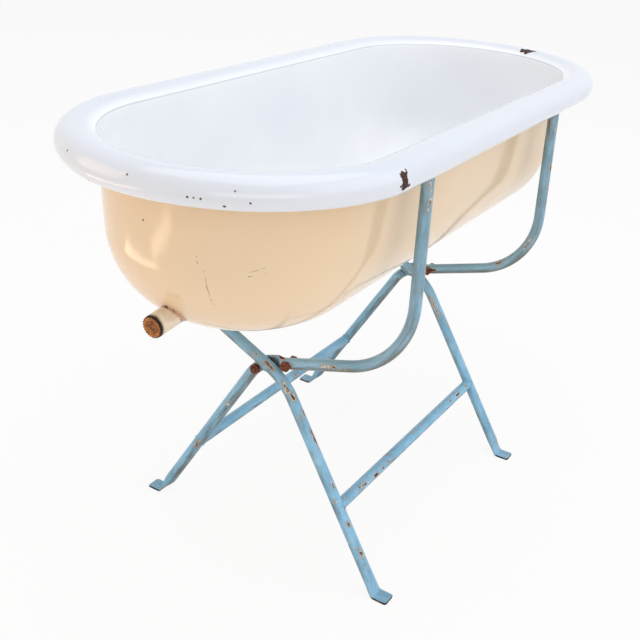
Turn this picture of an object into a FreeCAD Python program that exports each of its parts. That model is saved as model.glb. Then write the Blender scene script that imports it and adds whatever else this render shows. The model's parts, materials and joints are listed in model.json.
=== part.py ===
import FreeCAD, Part
import math
import os

os.makedirs("parts", exist_ok=True)
V = FreeCAD.Vector

# Enamelled baby bath on a folding tube stand.
# X runs from the drain end (-X) to the head end (+X), +Y is the left side, Z is up, the floor is z = 0.
# Lengths are in millimetres and angles in degrees.

# Bath
bath_length = 960.0
bath_width = 426.0
rim_height = 600.0
bath_depth = 223.0
sheet = 1.6
rim_width = 46.0
rim_edge_radius = 19.0
rim_top_radius = 42.0
rim_inner_radius = 6.0
rim_curl_deg = 68.0
wall_draft_deg = 4.5
floor_radius = 112.0

# Drain spout and its screw plug
spout_diameter = 26.0
spout_bore = 21.0
spout_setback = 56.0
spout_rise = 30.0
spout_tilt_deg = 6.0
spout_root_reach = 75.0
plug_diameter = 25.5
plug_thickness = 4.0
plug_flutes = 24
flute_diameter = 2.2
plug_recess_diameter = 17.0
plug_recess_depth = 0.8
plug_boss_diameter = 5.0
plug_stem_length = 14.0
plug_washer_thickness = 1.5
plug_fit = 0.08

# Stand tubes
tube_diameter = 15.0
tube_wall = 1.5
pivot_drop = 111.0
pivot_spacing = 400.0
left_arm_rise_deg = 16.5
left_bend_radius = 60.0
right_arm_rise_deg = 25.0
right_bend_radius = 90.0
foot_setback = 10.85
elbow_radius = 110.0
bar_height = 105.0
post_inset = 22.5

# Flattened parts of the tubes: two walls pressed together
flat_height = 22.2
flat_slit = 0.4
flat_margin = 1.0
flat_flare = 7.0
foot_width = 22.0
foot_length = 17.0
foot_flare = 24.0
foot_bend_radius = 6.0
foot_corner_radius = 3.0

# Pivot rivets
rivet_diameter = 6.0
rivet_head_diameter = 9.0
rivet_head_height = 1.6
rivet_tail_diameter = 10.0
rivet_tail_height = 2.5
pivot_spacer_diameter = 18.0
pivot_spacer_thickness = 0.8
pivot_washer_diameter = 16.0
pivot_washer_thickness = 1.2
pivot_fit = 0.05
side_gap = 0.1

# Stop bolts
bolt_diameter = 6.4
bolt_head_height = 4.4
bolt_end = 4.0
nut_across_flats = 12.0
nut_height = 5.6
nut_seat = 0.02
bolt_fit = 0.1
stop_gap = 4.5

# Post tips
tip_height = 6.0
tip_dome_radius = 10.0
tip_stem_length = 12.0
tip_gap = 0.05

# Extra length of cutting shapes
overrun = 2.0

# Sizes that follow from the ones above
tube_radius = tube_diameter / 2
bore_radius = tube_radius - tube_wall
flat_thickness = 2 * tube_wall
foot_thickness = 2 * tube_wall
slit_height = flat_height - 2 * tube_wall
slit_width = foot_width - 2 * tube_wall
half_length = bath_length / 2
half_width = bath_width / 2
spine_half = half_length - half_width
under_z = rim_height - bath_depth
pivot_height = under_z - pivot_drop
rivet_radius = rivet_diameter / 2
bolt_radius = bolt_diameter / 2
nut_corner_radius = nut_across_flats / 2 / math.cos(math.pi / 6)
draft = math.radians(wall_draft_deg)
curl = math.radians(rim_curl_deg)
tilt = math.radians(spout_tilt_deg)
X_AXIS = V(1, 0, 0)
Z_AXIS = V(0, 0, 1)


def save(name, shape):
    shape.exportStep("parts/" + name + ".step")


def polar(centre, radius, angle):
    return V(centre.x + radius * math.cos(angle), 0, centre.z + radius * math.sin(angle))


def arc(centre, radius, start, end):
    middle = polar(centre, radius, (start + end) / 2)
    return Part.Arc(polar(centre, radius, start), middle, polar(centre, radius, end)).toShape()


def line(a, b):
    return Part.makeLine(a, b)


def rod(a, b, radius):
    return Part.makeCylinder(radius, (b - a).Length, a, b - a)


def joined(shapes):
    return shapes[0].fuse(shapes[1:]).removeSplitter()


# Bath section, drawn in the XZ plane with X as the distance from the spine of the bath.
# The rim is three arcs: a small inner turn, a broad top and the outer curl.
crest_u = half_width - rim_edge_radius
curl_centre = V(crest_u, 0, rim_height - rim_edge_radius)
top_centre = V(crest_u, 0, rim_height - rim_top_radius)
wall_u = half_width - rim_width
inner_u = wall_u + rim_inner_radius
top_span = rim_top_radius - rim_inner_radius
top_turn = math.acos((inner_u - crest_u) / top_span)
inner_centre = V(inner_u, 0, top_centre.z + top_span * math.sin(top_turn))
floor_inside = floor_radius - sheet
wall_top = polar(inner_centre, rim_inner_radius, math.pi - draft)
floor_centre_z = under_z + floor_radius
wall_foot_z = floor_centre_z - floor_inside * math.sin(draft)
wall_run = (wall_top.z - wall_foot_z) * math.tan(draft)
floor_u = wall_top.x - wall_run - floor_inside * math.cos(draft)
floor_centre = V(floor_u, 0, floor_centre_z)


def skin(depth):
    """Edges of one face of the sheet, from the middle of the floor to the lip of the rim."""
    inside = floor_inside + depth
    turn = rim_inner_radius - depth
    top = rim_top_radius - depth
    edge = rim_edge_radius - depth
    low = polar(floor_centre, inside, -math.pi / 2)
    return [
        line(V(0, 0, low.z), low),
        arc(floor_centre, inside, -math.pi / 2, -draft),
        line(polar(floor_centre, inside, -draft), polar(inner_centre, turn, math.pi - draft)),
        arc(inner_centre, turn, math.pi - draft, top_turn),
        arc(top_centre, top, top_turn, math.pi / 2),
        arc(curl_centre, edge, math.pi / 2, -curl),
    ]


def spun(face, side):
    """Half turn of a section about the end of the spine on one side."""
    start = face.copy()
    start.rotate(V(0, 0, 0), Z_AXIS, -90 if side > 0 else 90)
    half = start.revolve(V(0, 0, 0), Z_AXIS, 180)
    half.translate(V(side * spine_half, 0, 0))
    return half


def drawn(face, side):
    """Straight run of a section along one long side."""
    start = face.copy()
    start.rotate(V(0, 0, 0), Z_AXIS, 90 * side)
    start.translate(V(-spine_half, 0, 0))
    return start.extrude(V(2 * spine_half, 0, 0))


white = skin(0)
cream = skin(sheet)
lip = line(polar(curl_centre, rim_edge_radius, -curl), polar(curl_centre, rim_edge_radius - sheet, -curl))
middle = line(V(0, 0, under_z), V(0, 0, under_z + sheet))
section = Part.Face(Part.Wire(Part.__sortEdges__(white + [lip] + cream + [middle])))
shell = joined([spun(section, 1), drawn(section, 1), spun(section, -1), drawn(section, -1)])

# Filled lower body, used to shape the root of the spout to the bath wall
body_top = polar(inner_centre, rim_inner_radius - sheet, math.pi - draft)
axis_top = V(0, 0, body_top.z)
body_edges = cream[:3] + [line(body_top, axis_top), line(axis_top, V(0, 0, under_z))]
body_face = Part.Face(Part.Wire(Part.__sortEdges__(body_edges)))
body_end = spun(body_face, -1)

# Drain spout: a short pipe on the drain end, pointing outward and slightly down
spout_out = V(-math.cos(tilt), 0, -math.sin(tilt))
spout_end = V(spout_setback - half_length, 0, under_z + spout_rise)
spout_root = spout_end - spout_out * spout_root_reach
pipe_bore = rod(spout_end + spout_out * overrun, spout_root, spout_bore / 2)
pipe = rod(spout_end, spout_root, spout_diameter / 2).cut(pipe_bore).cut(body_end)
save("drain_spout", pipe)
save("bath_shell", shell.cut(pipe_bore))

# Washer and fluted screw plug; the thread is drawn as a plain stem
washer_face = spout_end + spout_out * plug_washer_thickness
stem_radius = spout_bore / 2 - plug_fit
washer_bore = rod(spout_end - spout_out * overrun, washer_face + spout_out * overrun, stem_radius + plug_fit)
save("plug_washer", rod(spout_end, washer_face, spout_diameter / 2).cut(washer_bore))

plug_face = washer_face + spout_out * plug_thickness
recess_floor = plug_face - spout_out * plug_recess_depth
head = rod(washer_face, plug_face, plug_diameter / 2)
recess = rod(recess_floor, plug_face + spout_out * overrun, plug_recess_diameter / 2)
boss = rod(recess_floor - spout_out * overrun, plug_face, plug_boss_diameter / 2)
flute_axis = V(-math.sin(tilt), 0, math.cos(tilt)) * (plug_diameter / 2)
flute = rod(
    washer_face - spout_out * overrun + flute_axis,
    plug_face + spout_out * overrun + flute_axis,
    flute_diameter / 2,
)
flutes = []
for n in range(plug_flutes):
    groove = flute.copy()
    groove.rotate(washer_face, spout_out, 360.0 * n / plug_flutes)
    flutes.append(groove)
stem = rod(washer_face + spout_out * plug_recess_depth, spout_end - spout_out * plug_stem_length, stem_radius)
save("drain_plug", joined([head.cut(recess.cut(boss)).cut(flutes), stem]))

# Stand: two frames of two bent tubes, crossing at the pivots.
# The left frame stands on the left and carries the right posts; the right frame mirrors it.
lane = tube_radius + side_gap + pivot_spacer_thickness + side_gap + flat_thickness / 2
left_xs = [lane / 2 - pivot_spacing / 2, lane / 2 + pivot_spacing / 2]
right_xs = [-lane / 2 - pivot_spacing / 2, -lane / 2 + pivot_spacing / 2]
end_names = ["drain_end", "head_end"]

post_y = half_width - post_inset
floor_line = foot_thickness / 2
leg_foot_y = post_y - foot_setback


class Path:
    """Path of a tube in (y, z) with its foot on +y: foot, leg, bend, pivot, arm, elbow and post."""

    def __init__(self, rise_deg, bend_radius):
        self.rise = math.radians(rise_deg)
        self.bend_radius = bend_radius
        arm_top = pivot_height + post_y * math.tan(self.rise)
        reach = elbow_radius * math.tan((math.pi / 2 - self.rise) / 2)
        self.elbow_low = (reach * math.cos(self.rise) - post_y, arm_top - reach * math.sin(self.rise))
        self.elbow_high = (-post_y, arm_top + reach)
        self.elbow_centre = (elbow_radius - post_y, arm_top + reach)
        self.bend_centre = (-bend_radius * math.sin(self.rise), pivot_height - bend_radius * math.cos(self.rise))

        # The leg leaves the bend along the straight line that meets the floor just inside the post line
        across = leg_foot_y - self.bend_centre[0]
        down = self.bend_centre[1] - floor_line
        self.slope = math.asin(bend_radius / math.hypot(across, down)) + math.atan2(down, across)
        self.bend_turn = self.slope - self.rise
        self.leg_top = self.on_bend(self.bend_turn)
        y_step = math.cos(self.slope)
        z_step = math.sin(self.slope)
        reach = foot_bend_radius * math.tan(self.slope / 2)
        self.foot_in = (leg_foot_y - reach * y_step, floor_line + reach * z_step)
        self.foot_out = (leg_foot_y + reach, floor_line)
        self.foot_centre = (self.foot_out[0], floor_line + foot_bend_radius)
        self.leg_low = (self.foot_in[0] - foot_flare * y_step, self.foot_in[1] + foot_flare * z_step)

    def on_bend(self, turn):
        """Point of the bend a given turn below the pivot."""
        angle = self.rise + turn
        y = self.bend_centre[0] + self.bend_radius * math.sin(angle)
        return (y, self.bend_centre[1] + self.bend_radius * math.cos(angle))

    def on_arm(self, reach):
        """Point of the arm a given length from the pivot."""
        return (-reach * math.cos(self.rise), pivot_height + reach * math.sin(self.rise))

    def bar_y(self):
        """Where the axis of the leg is at the height of the cross bar."""
        return self.leg_top[0] + (self.leg_top[1] - bar_height) / math.tan(self.slope)


left_path = Path(left_arm_rise_deg, left_bend_radius)
right_path = Path(right_arm_rise_deg, right_bend_radius)

# Under the rim the post ends in a domed tip that just reaches the underside of the roll
roof_offset = crest_u - post_y
roof_span = rim_top_radius - sheet - tip_gap - tip_dome_radius
tip_top = top_centre.z + math.sqrt(roof_span ** 2 - roof_offset ** 2) + tip_dome_radius
post_top = tip_top - tip_height

# Stop bolts sit on the left tube, one on each side of the right one.
# With the legs open their nuts are a little way off it, so the stand can't open much further.
stop_reach = tube_radius + nut_corner_radius + stop_gap
crossing = left_path.rise + right_path.rise
bend_lean = right_path.bend_radius * math.sin(crossing)
bend_span = (right_path.bend_radius + stop_reach) ** 2 - right_path.bend_radius ** 2
stop_arm = math.sqrt(bend_lean ** 2 + bend_span) - bend_lean
stop_turn = math.acos(math.cos(crossing) - stop_reach / left_path.bend_radius) - crossing
stop_points = [left_path.on_arm(stop_arm), left_path.on_bend(min(stop_turn, left_path.bend_turn))]

# The left tube is pressed flat at the pivot only, and is round again under the nuts
flat_reach = pivot_spacer_diameter / 2 + flat_margin
flare_reach = flat_reach + flat_flare
flat_turn = flat_reach / left_path.bend_radius
flare_turn = flare_reach / left_path.bend_radius


def loop(corners, bulges):
    """Closed wire of four edges; a bulge is the middle point of an arc, or None for a straight edge."""
    edges = []
    for n in range(4):
        a = corners[n]
        b = corners[(n + 1) % 4]
        edges.append(line(a, b) if bulges[n] is None else Part.Arc(a, bulges[n], b).toShape())
    return Part.Wire(edges)


def round_loop(centre, wide, thin, radius):
    d = radius * math.sqrt(0.5)
    corners = [centre + wide * i * d + thin * j * d for i, j in ((1, 1), (-1, 1), (-1, -1), (1, -1))]
    bulges = [centre + thin * radius, centre - wide * radius, centre - thin * radius, centre + wide * radius]
    return loop(corners, bulges)


def slot_loop(centre, wide, thin, width, thickness):
    w = (width - thickness) / 2
    t = thickness / 2
    corners = [centre + wide * i * w + thin * j * t for i, j in ((1, 1), (-1, 1), (-1, -1), (1, -1))]
    bulges = [None, centre - wide * (width / 2), None, centre + wide * (width / 2)]
    return loop(corners, bulges)


class Tube:
    """One bent stand tube at a given x, with its foot on the side +1 (left) or -1 (right)."""

    def __init__(self, x, side, path, flattened):
        self.x = x
        self.side = side
        self.path = path
        self.flattened = flattened

    def at(self, point):
        return V(self.x, self.side * point[0], point[1])

    def way(self, angle):
        return V(0, self.side * math.cos(angle), math.sin(angle))

    def turned(self, loop_wire, centre, angle):
        return Part.Face(loop_wire).revolve(self.at(centre), X_AXIS, self.side * math.degrees(angle))

    def foot_slot(self, width, thickness):
        thin = self.way(math.pi / 2 - self.path.slope)
        return slot_loop(self.at(self.path.foot_in), X_AXIS, thin, width, thickness)

    def flat_slot(self, point, slope, height, thickness):
        return slot_loop(self.at(point), self.way(math.pi / 2 - slope), X_AXIS, height, thickness)

    def ring(self, point, slope, radius):
        return round_loop(self.at(point), self.way(math.pi / 2 - slope), X_AXIS, radius)

    def run(self, radius, flat_h, flat_t, foot_w, foot_t, top):
        """Solids that follow the path at one radius, from the foot flare to the post top."""
        path = self.path
        leg_ring = round_loop(self.at(path.leg_low), X_AXIS, self.way(math.pi / 2 - path.slope), radius)
        legs = [
            Part.makeLoft([self.foot_slot(foot_w, foot_t), leg_ring], True, True),
            rod(self.at(path.leg_low), self.at(path.leg_top), radius),
        ]
        arms = []
        turn = flare_turn if self.flattened else 0
        arm_start = path.on_arm(flare_reach if self.flattened else 0)
        bend_ring = self.ring(path.on_bend(turn), path.rise + turn, radius)
        legs.append(self.turned(bend_ring, path.bend_centre, turn - path.bend_turn))
        if self.flattened:
            low = self.flat_slot(path.on_bend(flat_turn), path.rise + flat_turn, flat_h, flat_t)
            high = self.flat_slot(path.on_arm(flat_reach), path.rise, flat_h, flat_t)
            legs.append(Part.makeLoft([bend_ring, low], True, True))
            arms.append(Part.makeLoft([high, self.ring(arm_start, path.rise, radius)], True, True))
        arms.append(rod(self.at(arm_start), self.at(path.elbow_low), radius))
        elbow_ring = self.ring(path.elbow_low, path.rise, radius)
        arms.append(self.turned(elbow_ring, path.elbow_centre, path.rise - math.pi / 2))
        arms.append(rod(self.at(path.elbow_high), self.at((path.elbow_high[0], top)), radius))
        return legs, arms

    def outside(self):
        legs, arms = self.run(tube_radius, flat_height, flat_thickness, foot_width, foot_thickness, post_top)
        parts = legs + arms
        path = self.path
        if self.flattened:
            middle_slot = self.flat_slot(path.on_arm(0), path.rise, flat_height, flat_thickness)
            parts.append(self.turned(middle_slot, path.bend_centre, -flat_turn))
            parts.append(Part.Face(middle_slot).extrude(self.at(path.on_arm(flat_reach)) - self.at(path.on_arm(0))))
        parts.append(self.turned(self.foot_slot(foot_width, foot_thickness), path.foot_centre, path.slope))
        sole = slot_loop(self.at(path.foot_out), X_AXIS, Z_AXIS, foot_width, foot_thickness)
        parts.append(Part.Face(sole).extrude(V(0, self.side * foot_length, 0)))
        return joined(parts)

    def inside(self):
        legs, arms = self.run(bore_radius, slit_height, flat_slit, slit_width, flat_slit, post_top + overrun)
        return [joined(legs), joined(arms)] if self.flattened else [joined(legs + arms)]

    def corner_cuts(self):
        """What is taken off the two square corners of the foot."""
        r = foot_corner_radius
        y_end = self.path.foot_out[0] + foot_length
        cuts = []
        for hand in (1, -1):
            inner = V(self.x + hand * (foot_width / 2 - r), self.side * (y_end - r), -overrun)
            block = Part.makeBox(r + overrun, r + overrun, foot_thickness + 2 * overrun)
            block.translate(V(0 if hand > 0 else -r - overrun, 0 if self.side > 0 else -r - overrun, 0))
            block.translate(inner)
            cuts.append(block.cut(Part.makeCylinder(r, foot_thickness + 2 * overrun, inner)))
        return cuts

    def solid(self, holes):
        return self.outside().cut(self.inside()).cut(self.corner_cuts() + holes)


def drill(x, point, radius):
    reach = tube_diameter + overrun
    return rod(V(x - reach, point[0], point[1]), V(x + reach, point[0], point[1]), radius)


def hexagon(x, point, height):
    corners = []
    for n in range(7):
        a = math.pi / 3 * n
        y = point[0] + nut_corner_radius * math.cos(a)
        corners.append(V(x, y, point[1] + nut_corner_radius * math.sin(a)))
    return Part.Face(Part.makePolygon(corners)).extrude(V(height, 0, 0))


def washer(x, thickness, radius, hole):
    point = V(x, 0, pivot_height)
    ring = Part.makeCylinder(radius, thickness, point, X_AXIS)
    return ring.cut(drill(x, (0, pivot_height), hole))


def tip(x, y):
    """Rubber tip pushed into the top of a post, with a domed head."""
    base = V(x, y, post_top)
    block = Part.makeCylinder(tube_radius, tip_height, base)
    dome = Part.makeSphere(tip_dome_radius, V(x, y, tip_top - tip_dome_radius))
    neck = Part.makeCylinder(bore_radius, tip_stem_length + tip_height / 2, V(x, y, post_top - tip_stem_length))
    return joined([block.common(dome), neck])


pivot_point = (0, pivot_height)
rivet_hole_radius = rivet_radius + pivot_fit
for n in range(2):
    end = end_names[n]
    left_x = left_xs[n]
    right_x = right_xs[n]
    left_tube = Tube(left_x, 1, left_path, True)
    right_tube = Tube(right_x, -1, right_path, False)
    left_holes = [drill(left_x, pivot_point, rivet_hole_radius)]
    left_holes += [drill(left_x, p, bolt_radius + bolt_fit) for p in stop_points]
    save("left_tube_" + end, left_tube.solid(left_holes))
    save("right_tube_" + end, right_tube.solid([drill(right_x, pivot_point, rivet_hole_radius)]))

    # Pivot: domed rivet head, crossing tube, spacer, flattened tube, washer and clenched tail
    head_x = right_x - tube_radius - side_gap
    spacer_x = right_x + tube_radius + side_gap
    washer_x = left_x + flat_thickness / 2 + side_gap
    tail_x = washer_x + pivot_washer_thickness
    dome_radius = (rivet_head_height ** 2 + (rivet_head_diameter / 2) ** 2) / (2 * rivet_head_height)
    dome_base = math.degrees(math.asin(1 - rivet_head_height / dome_radius))
    dome_centre = V(head_x - rivet_head_height + dome_radius, 0, pivot_height)
    dome = Part.makeSphere(dome_radius, dome_centre, -X_AXIS, dome_base, 90, 360)
    shank = rod(V(head_x, 0, pivot_height), V(tail_x, 0, pivot_height), rivet_radius)
    tail_end = V(tail_x + rivet_tail_height, 0, pivot_height)
    tail = rod(V(tail_x, 0, pivot_height), tail_end, rivet_tail_diameter / 2)
    save("pivot_rivet_" + end, joined([dome, shank, tail]))
    spacer = washer(spacer_x, pivot_spacer_thickness, pivot_spacer_diameter / 2, rivet_hole_radius)
    save("pivot_spacer_" + end, spacer)
    tail_washer = washer(washer_x, pivot_washer_thickness, pivot_washer_diameter / 2, rivet_hole_radius)
    save("pivot_washer_" + end, tail_washer)

    # Stop bolts: head behind the left tube, nut and thread end on the side of the right one
    back_x = left_x + tube_radius + nut_seat
    front_x = left_x - tube_radius - nut_seat
    tip_x = front_x - nut_height - bolt_end
    bolts = []
    nuts = []
    for p in stop_points:
        shaft = rod(V(back_x, p[0], p[1]), V(tip_x, p[0], p[1]), bolt_radius)
        bolts.append(joined([hexagon(back_x, p, bolt_head_height), shaft]))
        nut = hexagon(front_x, p, -nut_height)
        nuts.append(nut.cut(drill(front_x, p, bolt_radius)))
    save("stop_bolts_" + end, Part.makeCompound(bolts))
    save("stop_nuts_" + end, Part.makeCompound(nuts))

    save("post_tip_right_" + end, tip(left_x, -post_y))
    save("post_tip_left_" + end, tip(right_x, post_y))

# Cross bars: one between the two legs of each frame, shaped to the legs at both ends
frames = (("left_cross_bar", 1, left_xs, left_path), ("right_cross_bar", -1, right_xs, right_path))
for name, side, xs, path in frames:
    ends = [V(x, side * path.bar_y(), bar_height) for x in xs]
    bar = rod(ends[0], ends[1], tube_radius).cut(rod(ends[0], ends[1], bore_radius))
    for x in xs:
        tube = Tube(x, side, path, False)
        bar = bar.cut(rod(tube.at(path.leg_low), tube.at(path.leg_top), tube_radius))
    save(name, bar)
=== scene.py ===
# %% [markdown]
# # Enamel baby bath on a folding tube stand
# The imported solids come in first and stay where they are: they are the ruler for everything below.
# The looks are then built around them, piece by piece, in metres and in the same frame.
# X runs along the bath from the drain end to the head end, and Z is up from the floor.

# %% Load the frame
import json
import math

import bmesh
import bpy
from mathutils import Matrix, Vector, noise


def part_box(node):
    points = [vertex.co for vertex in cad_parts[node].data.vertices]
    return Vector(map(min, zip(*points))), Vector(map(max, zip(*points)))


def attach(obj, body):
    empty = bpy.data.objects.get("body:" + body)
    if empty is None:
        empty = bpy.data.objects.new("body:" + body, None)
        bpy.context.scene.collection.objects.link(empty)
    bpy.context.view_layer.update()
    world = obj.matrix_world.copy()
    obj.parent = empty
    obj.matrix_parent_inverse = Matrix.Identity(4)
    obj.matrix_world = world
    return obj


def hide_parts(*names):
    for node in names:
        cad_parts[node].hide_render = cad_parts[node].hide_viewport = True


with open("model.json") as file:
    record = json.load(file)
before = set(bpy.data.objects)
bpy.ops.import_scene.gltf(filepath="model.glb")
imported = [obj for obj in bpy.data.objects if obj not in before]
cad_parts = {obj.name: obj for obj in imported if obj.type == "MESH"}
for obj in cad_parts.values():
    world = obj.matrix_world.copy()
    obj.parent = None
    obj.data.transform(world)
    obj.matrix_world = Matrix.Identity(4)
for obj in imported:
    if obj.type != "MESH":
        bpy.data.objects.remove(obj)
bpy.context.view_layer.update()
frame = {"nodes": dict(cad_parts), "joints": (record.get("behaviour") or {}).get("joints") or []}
MM = 0.001
joints = {joint["name"]: joint for joint in frame["joints"]}

# %% [markdown]
# ## Small helpers
# Colours are written as the hex values that a paint card would show, and one function turns them into the
# linear numbers that shaders take. One function adds a node with its settings and links, so that each
# material and each Geometry Nodes tree below reads as a list of what it is made of.


# %% Colours and nodes
def linear(hex_colour):
    """Linear RGBA of an sRGB hex colour."""
    channels = [int(hex_colour[n:n + 2], 16) / 255 for n in (1, 3, 5)]
    return [c / 12.92 if c <= 0.04045 else ((c + 0.055) / 1.055) ** 2.4 for c in channels] + [1.0]


def feed(tree, node, inputs):
    """Fills inputs of a node. A socket or a node's first output in use is linked, a value is set."""
    for key, value in inputs.items():
        if isinstance(value, bpy.types.Node):
            value = next(socket for socket in value.outputs if socket.enabled)
        if isinstance(value, bpy.types.NodeSocket):
            tree.links.new(value, node.inputs[key])
        else:
            node.inputs[key].default_value = linear(value) if isinstance(value, str) else value


def add(tree, kind, inputs=None, **settings):
    """Adds one node with its settings and its links."""
    node = tree.nodes.new(kind)
    for name, value in settings.items():
        setattr(node, name, value)
    feed(tree, node, inputs or {})
    return node


print("white is", linear("#FFFFFF"), "and the cream of the bath", [round(c, 3) for c in linear("#EBD2B1")])


# %% Pieces and trees
def place(name, mesh, body, slot, material, *nodes):
    """Makes a mesh a piece of the object: it rides on a body and may stand for solids."""
    piece = bpy.data.objects.new(name, mesh)
    bpy.context.scene.collection.objects.link(piece)
    if material:
        mesh.materials.clear()
        mesh.materials.append(material)
    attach(piece, body)
    if nodes:
        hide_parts(*nodes)
    print("piece:", name, len(mesh.polygons), "faces")


def grown(tree, values):
    """Runs a Geometry Nodes tree once and returns what it makes as a plain mesh."""
    holder = bpy.data.objects.new(tree.name, bpy.data.meshes.new(tree.name))
    bpy.context.scene.collection.objects.link(holder)
    modifier = holder.modifiers.new(tree.name, "NODES")
    modifier.node_group = tree
    for item in tree.interface.items_tree:
        if item.in_out == "INPUT" and item.name in values:
            modifier[item.identifier] = values[item.name]
    shown = holder.evaluated_get(bpy.context.evaluated_depsgraph_get())
    mesh = bpy.data.meshes.new_from_object(shown)
    holder.modifiers.clear()
    bpy.data.objects.remove(holder)
    return mesh


def node_tree(name, inputs):
    """An empty Geometry Nodes tree with named inputs, its input node and its output node."""
    tree = bpy.data.node_groups.new(name, "GeometryNodeTree")
    for label, kind in inputs:
        tree.interface.new_socket(label, in_out="INPUT", socket_type="NodeSocket" + kind)
    tree.interface.new_socket("Geometry", in_out="OUTPUT", socket_type="NodeSocketGeometry")
    return tree, tree.nodes.new("NodeGroupInput").outputs, tree.nodes.new("NodeGroupOutput")


print("a piece is put in by", place.__name__, "and a tree is run by", grown.__name__)


# %% Meshes from rings of points
def surface(name, rings, looped=False, marks=None):
    """A mesh through rings of points that all have the same count. Edges above 35 degrees stay sharp.

    The ends are closed, or joined if it is looped. Marks are named values that ride on the points: a number
    for each ring, or a list of numbers or vectors for its points.
    """
    build = bmesh.new()
    count = len(rings[0])
    kinds = build.verts.layers
    layers = []
    for label, values in (marks or {}).items():
        spread = [value if isinstance(value, list) else [value] * count for value in values]
        kind = kinds.float_vector if isinstance(spread[0][0], Vector) else kinds.float
        layers.append((kind.new(label), spread))
    rows = [[build.verts.new(point) for point in ring] for ring in rings]
    for layer, spread in layers:
        for row, values in zip(rows, spread):
            for vert, value in zip(row, values):
                vert[layer] = value
    for low, high in zip(rows, rows[1:] + rows[:1] if looped else rows[1:]):
        for n in range(count):
            build.faces.new((low[n], low[(n + 1) % count], high[(n + 1) % count], high[n]))
    if not looped:
        build.faces.new(rows[0])
        build.faces.new(rows[-1])
    bmesh.ops.remove_doubles(build, verts=build.verts, dist=0.001 * MM)
    bmesh.ops.recalc_face_normals(build, faces=build.faces)
    for face in build.faces:
        face.smooth = True
    for edge in build.edges:
        edge.smooth = edge.calc_face_angle(0) < math.radians(35)
    mesh = bpy.data.meshes.new(name)
    build.to_mesh(mesh)
    build.free()
    return mesh


def turned(start, axis, profile, count, shape=None):
    """Rings of a turned piece. Each step of the profile is a height along the axis and a radius."""
    side = axis.orthogonal().normalized()
    other = axis.cross(side).normalized()
    rings = []
    for height, radius in profile:
        ring = []
        for n in range(count):
            angle = 2 * math.pi * n / count
            r = shape(height, radius, angle) if shape else radius
            ring.append(start + axis * height + (side * math.cos(angle) + other * math.sin(angle)) * r)
        rings.append(ring)
    return rings


def together(name, *meshes):
    """One mesh made of several."""
    build = bmesh.new()
    for mesh in meshes:
        build.from_mesh(mesh)
    mesh = bpy.data.meshes.new(name)
    build.to_mesh(mesh)
    build.free()
    return mesh


print("meshes are made by", surface.__name__, turned.__name__, "and", together.__name__)

# %% [markdown]
# ## Camera
# The photograph was taken from the drain end, a little above the rim, about 1.4 m away. Such a short
# distance gives strong perspective, so the place of the camera matters more than the lens. The picture is
# also rolled by a few degrees and cropped off centre, which the shift takes care of.

# %% Set the camera
picture = 640
focal_pixels = 998.2
centre_pixels = (320, 200)
azimuth, elevation, roll = (math.radians(a) for a in (-58.92, 18.94, 3.68))
target = Vector((-15.4, 54.2, 428.2)) * MM
distance = 1400 * MM

back = Vector((math.sin(azimuth) * math.cos(elevation), -math.cos(azimuth) * math.cos(elevation),
               math.sin(elevation)))
level = Vector((math.cos(azimuth), math.sin(azimuth), 0))
above = back.cross(level)
right = level * math.cos(roll) + above * math.sin(roll)
up = above * math.cos(roll) - level * math.sin(roll)
lens = bpy.data.cameras.new("photo_camera")
lens.sensor_width = 36
lens.lens = focal_pixels / picture * lens.sensor_width
lens.shift_x = (picture / 2 - centre_pixels[0]) / picture
lens.shift_y = (centre_pixels[1] - picture / 2) / picture
camera = bpy.data.objects.new("photo_camera", lens)
bpy.context.scene.collection.objects.link(camera)
turn = Matrix((right, up, back)).transposed().to_4x4()
camera.matrix_world = Matrix.Translation(target + back * distance) @ turn
bpy.context.scene.camera = camera
print("camera:", round(lens.lens, 1), "mm lens at", [round(c, 3) for c in camera.location])

# %% [markdown]
# ## Sizes
# Whatever the frame can tell is read from it: boxes of solids, pivots and axes of joints. What is left are
# the radii of bends and rolls, which could be read off a mesh but are plain numbers here, written once.

# %% Sizes of the bath
shell_low, shell_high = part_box("bath_shell")
half_width = shell_high.y
spine_half = shell_high.x - half_width
rim_height = shell_high.z
under_z = shell_low.z
sheet = 1.6 * MM
rim_width = 46 * MM
rim_edge_radius = 19 * MM
rim_top_radius = 42 * MM
rim_inner_radius = 6 * MM
rim_curl = math.radians(68)
wall_draft = math.radians(4.5)
floor_radius = 112 * MM
floor_inside = floor_radius - sheet

crest_u = half_width - rim_edge_radius
curl_centre = (crest_u, rim_height - rim_edge_radius)
top_centre = (crest_u, rim_height - rim_top_radius)
inner_u = half_width - rim_width + rim_inner_radius
top_span = rim_top_radius - rim_inner_radius
top_turn = math.acos((inner_u - crest_u) / top_span)
inner_centre = (inner_u, top_centre[1] + top_span * math.sin(top_turn))
floor_z = under_z + floor_radius
wall_top = (inner_u - rim_inner_radius * math.cos(wall_draft),
            inner_centre[1] + rim_inner_radius * math.sin(wall_draft))
wall_foot_z = floor_z - floor_inside * math.sin(wall_draft)
wall_lean = (wall_top[1] - wall_foot_z) * math.tan(wall_draft)
floor_u = wall_top[0] - wall_lean - floor_inside * math.cos(wall_draft)
floor_centre = (floor_u, floor_z)
# Length of the section from the lip to half way round the turn into the bath
rim_run = (rim_edge_radius * (math.pi / 2 + rim_curl) + rim_top_radius * (top_turn - math.pi / 2)
           + rim_inner_radius * (math.pi - top_turn) / 2)
print("bath:", round(2 * shell_high.x / MM), "x", round(2 * half_width / MM), "mm")

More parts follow.
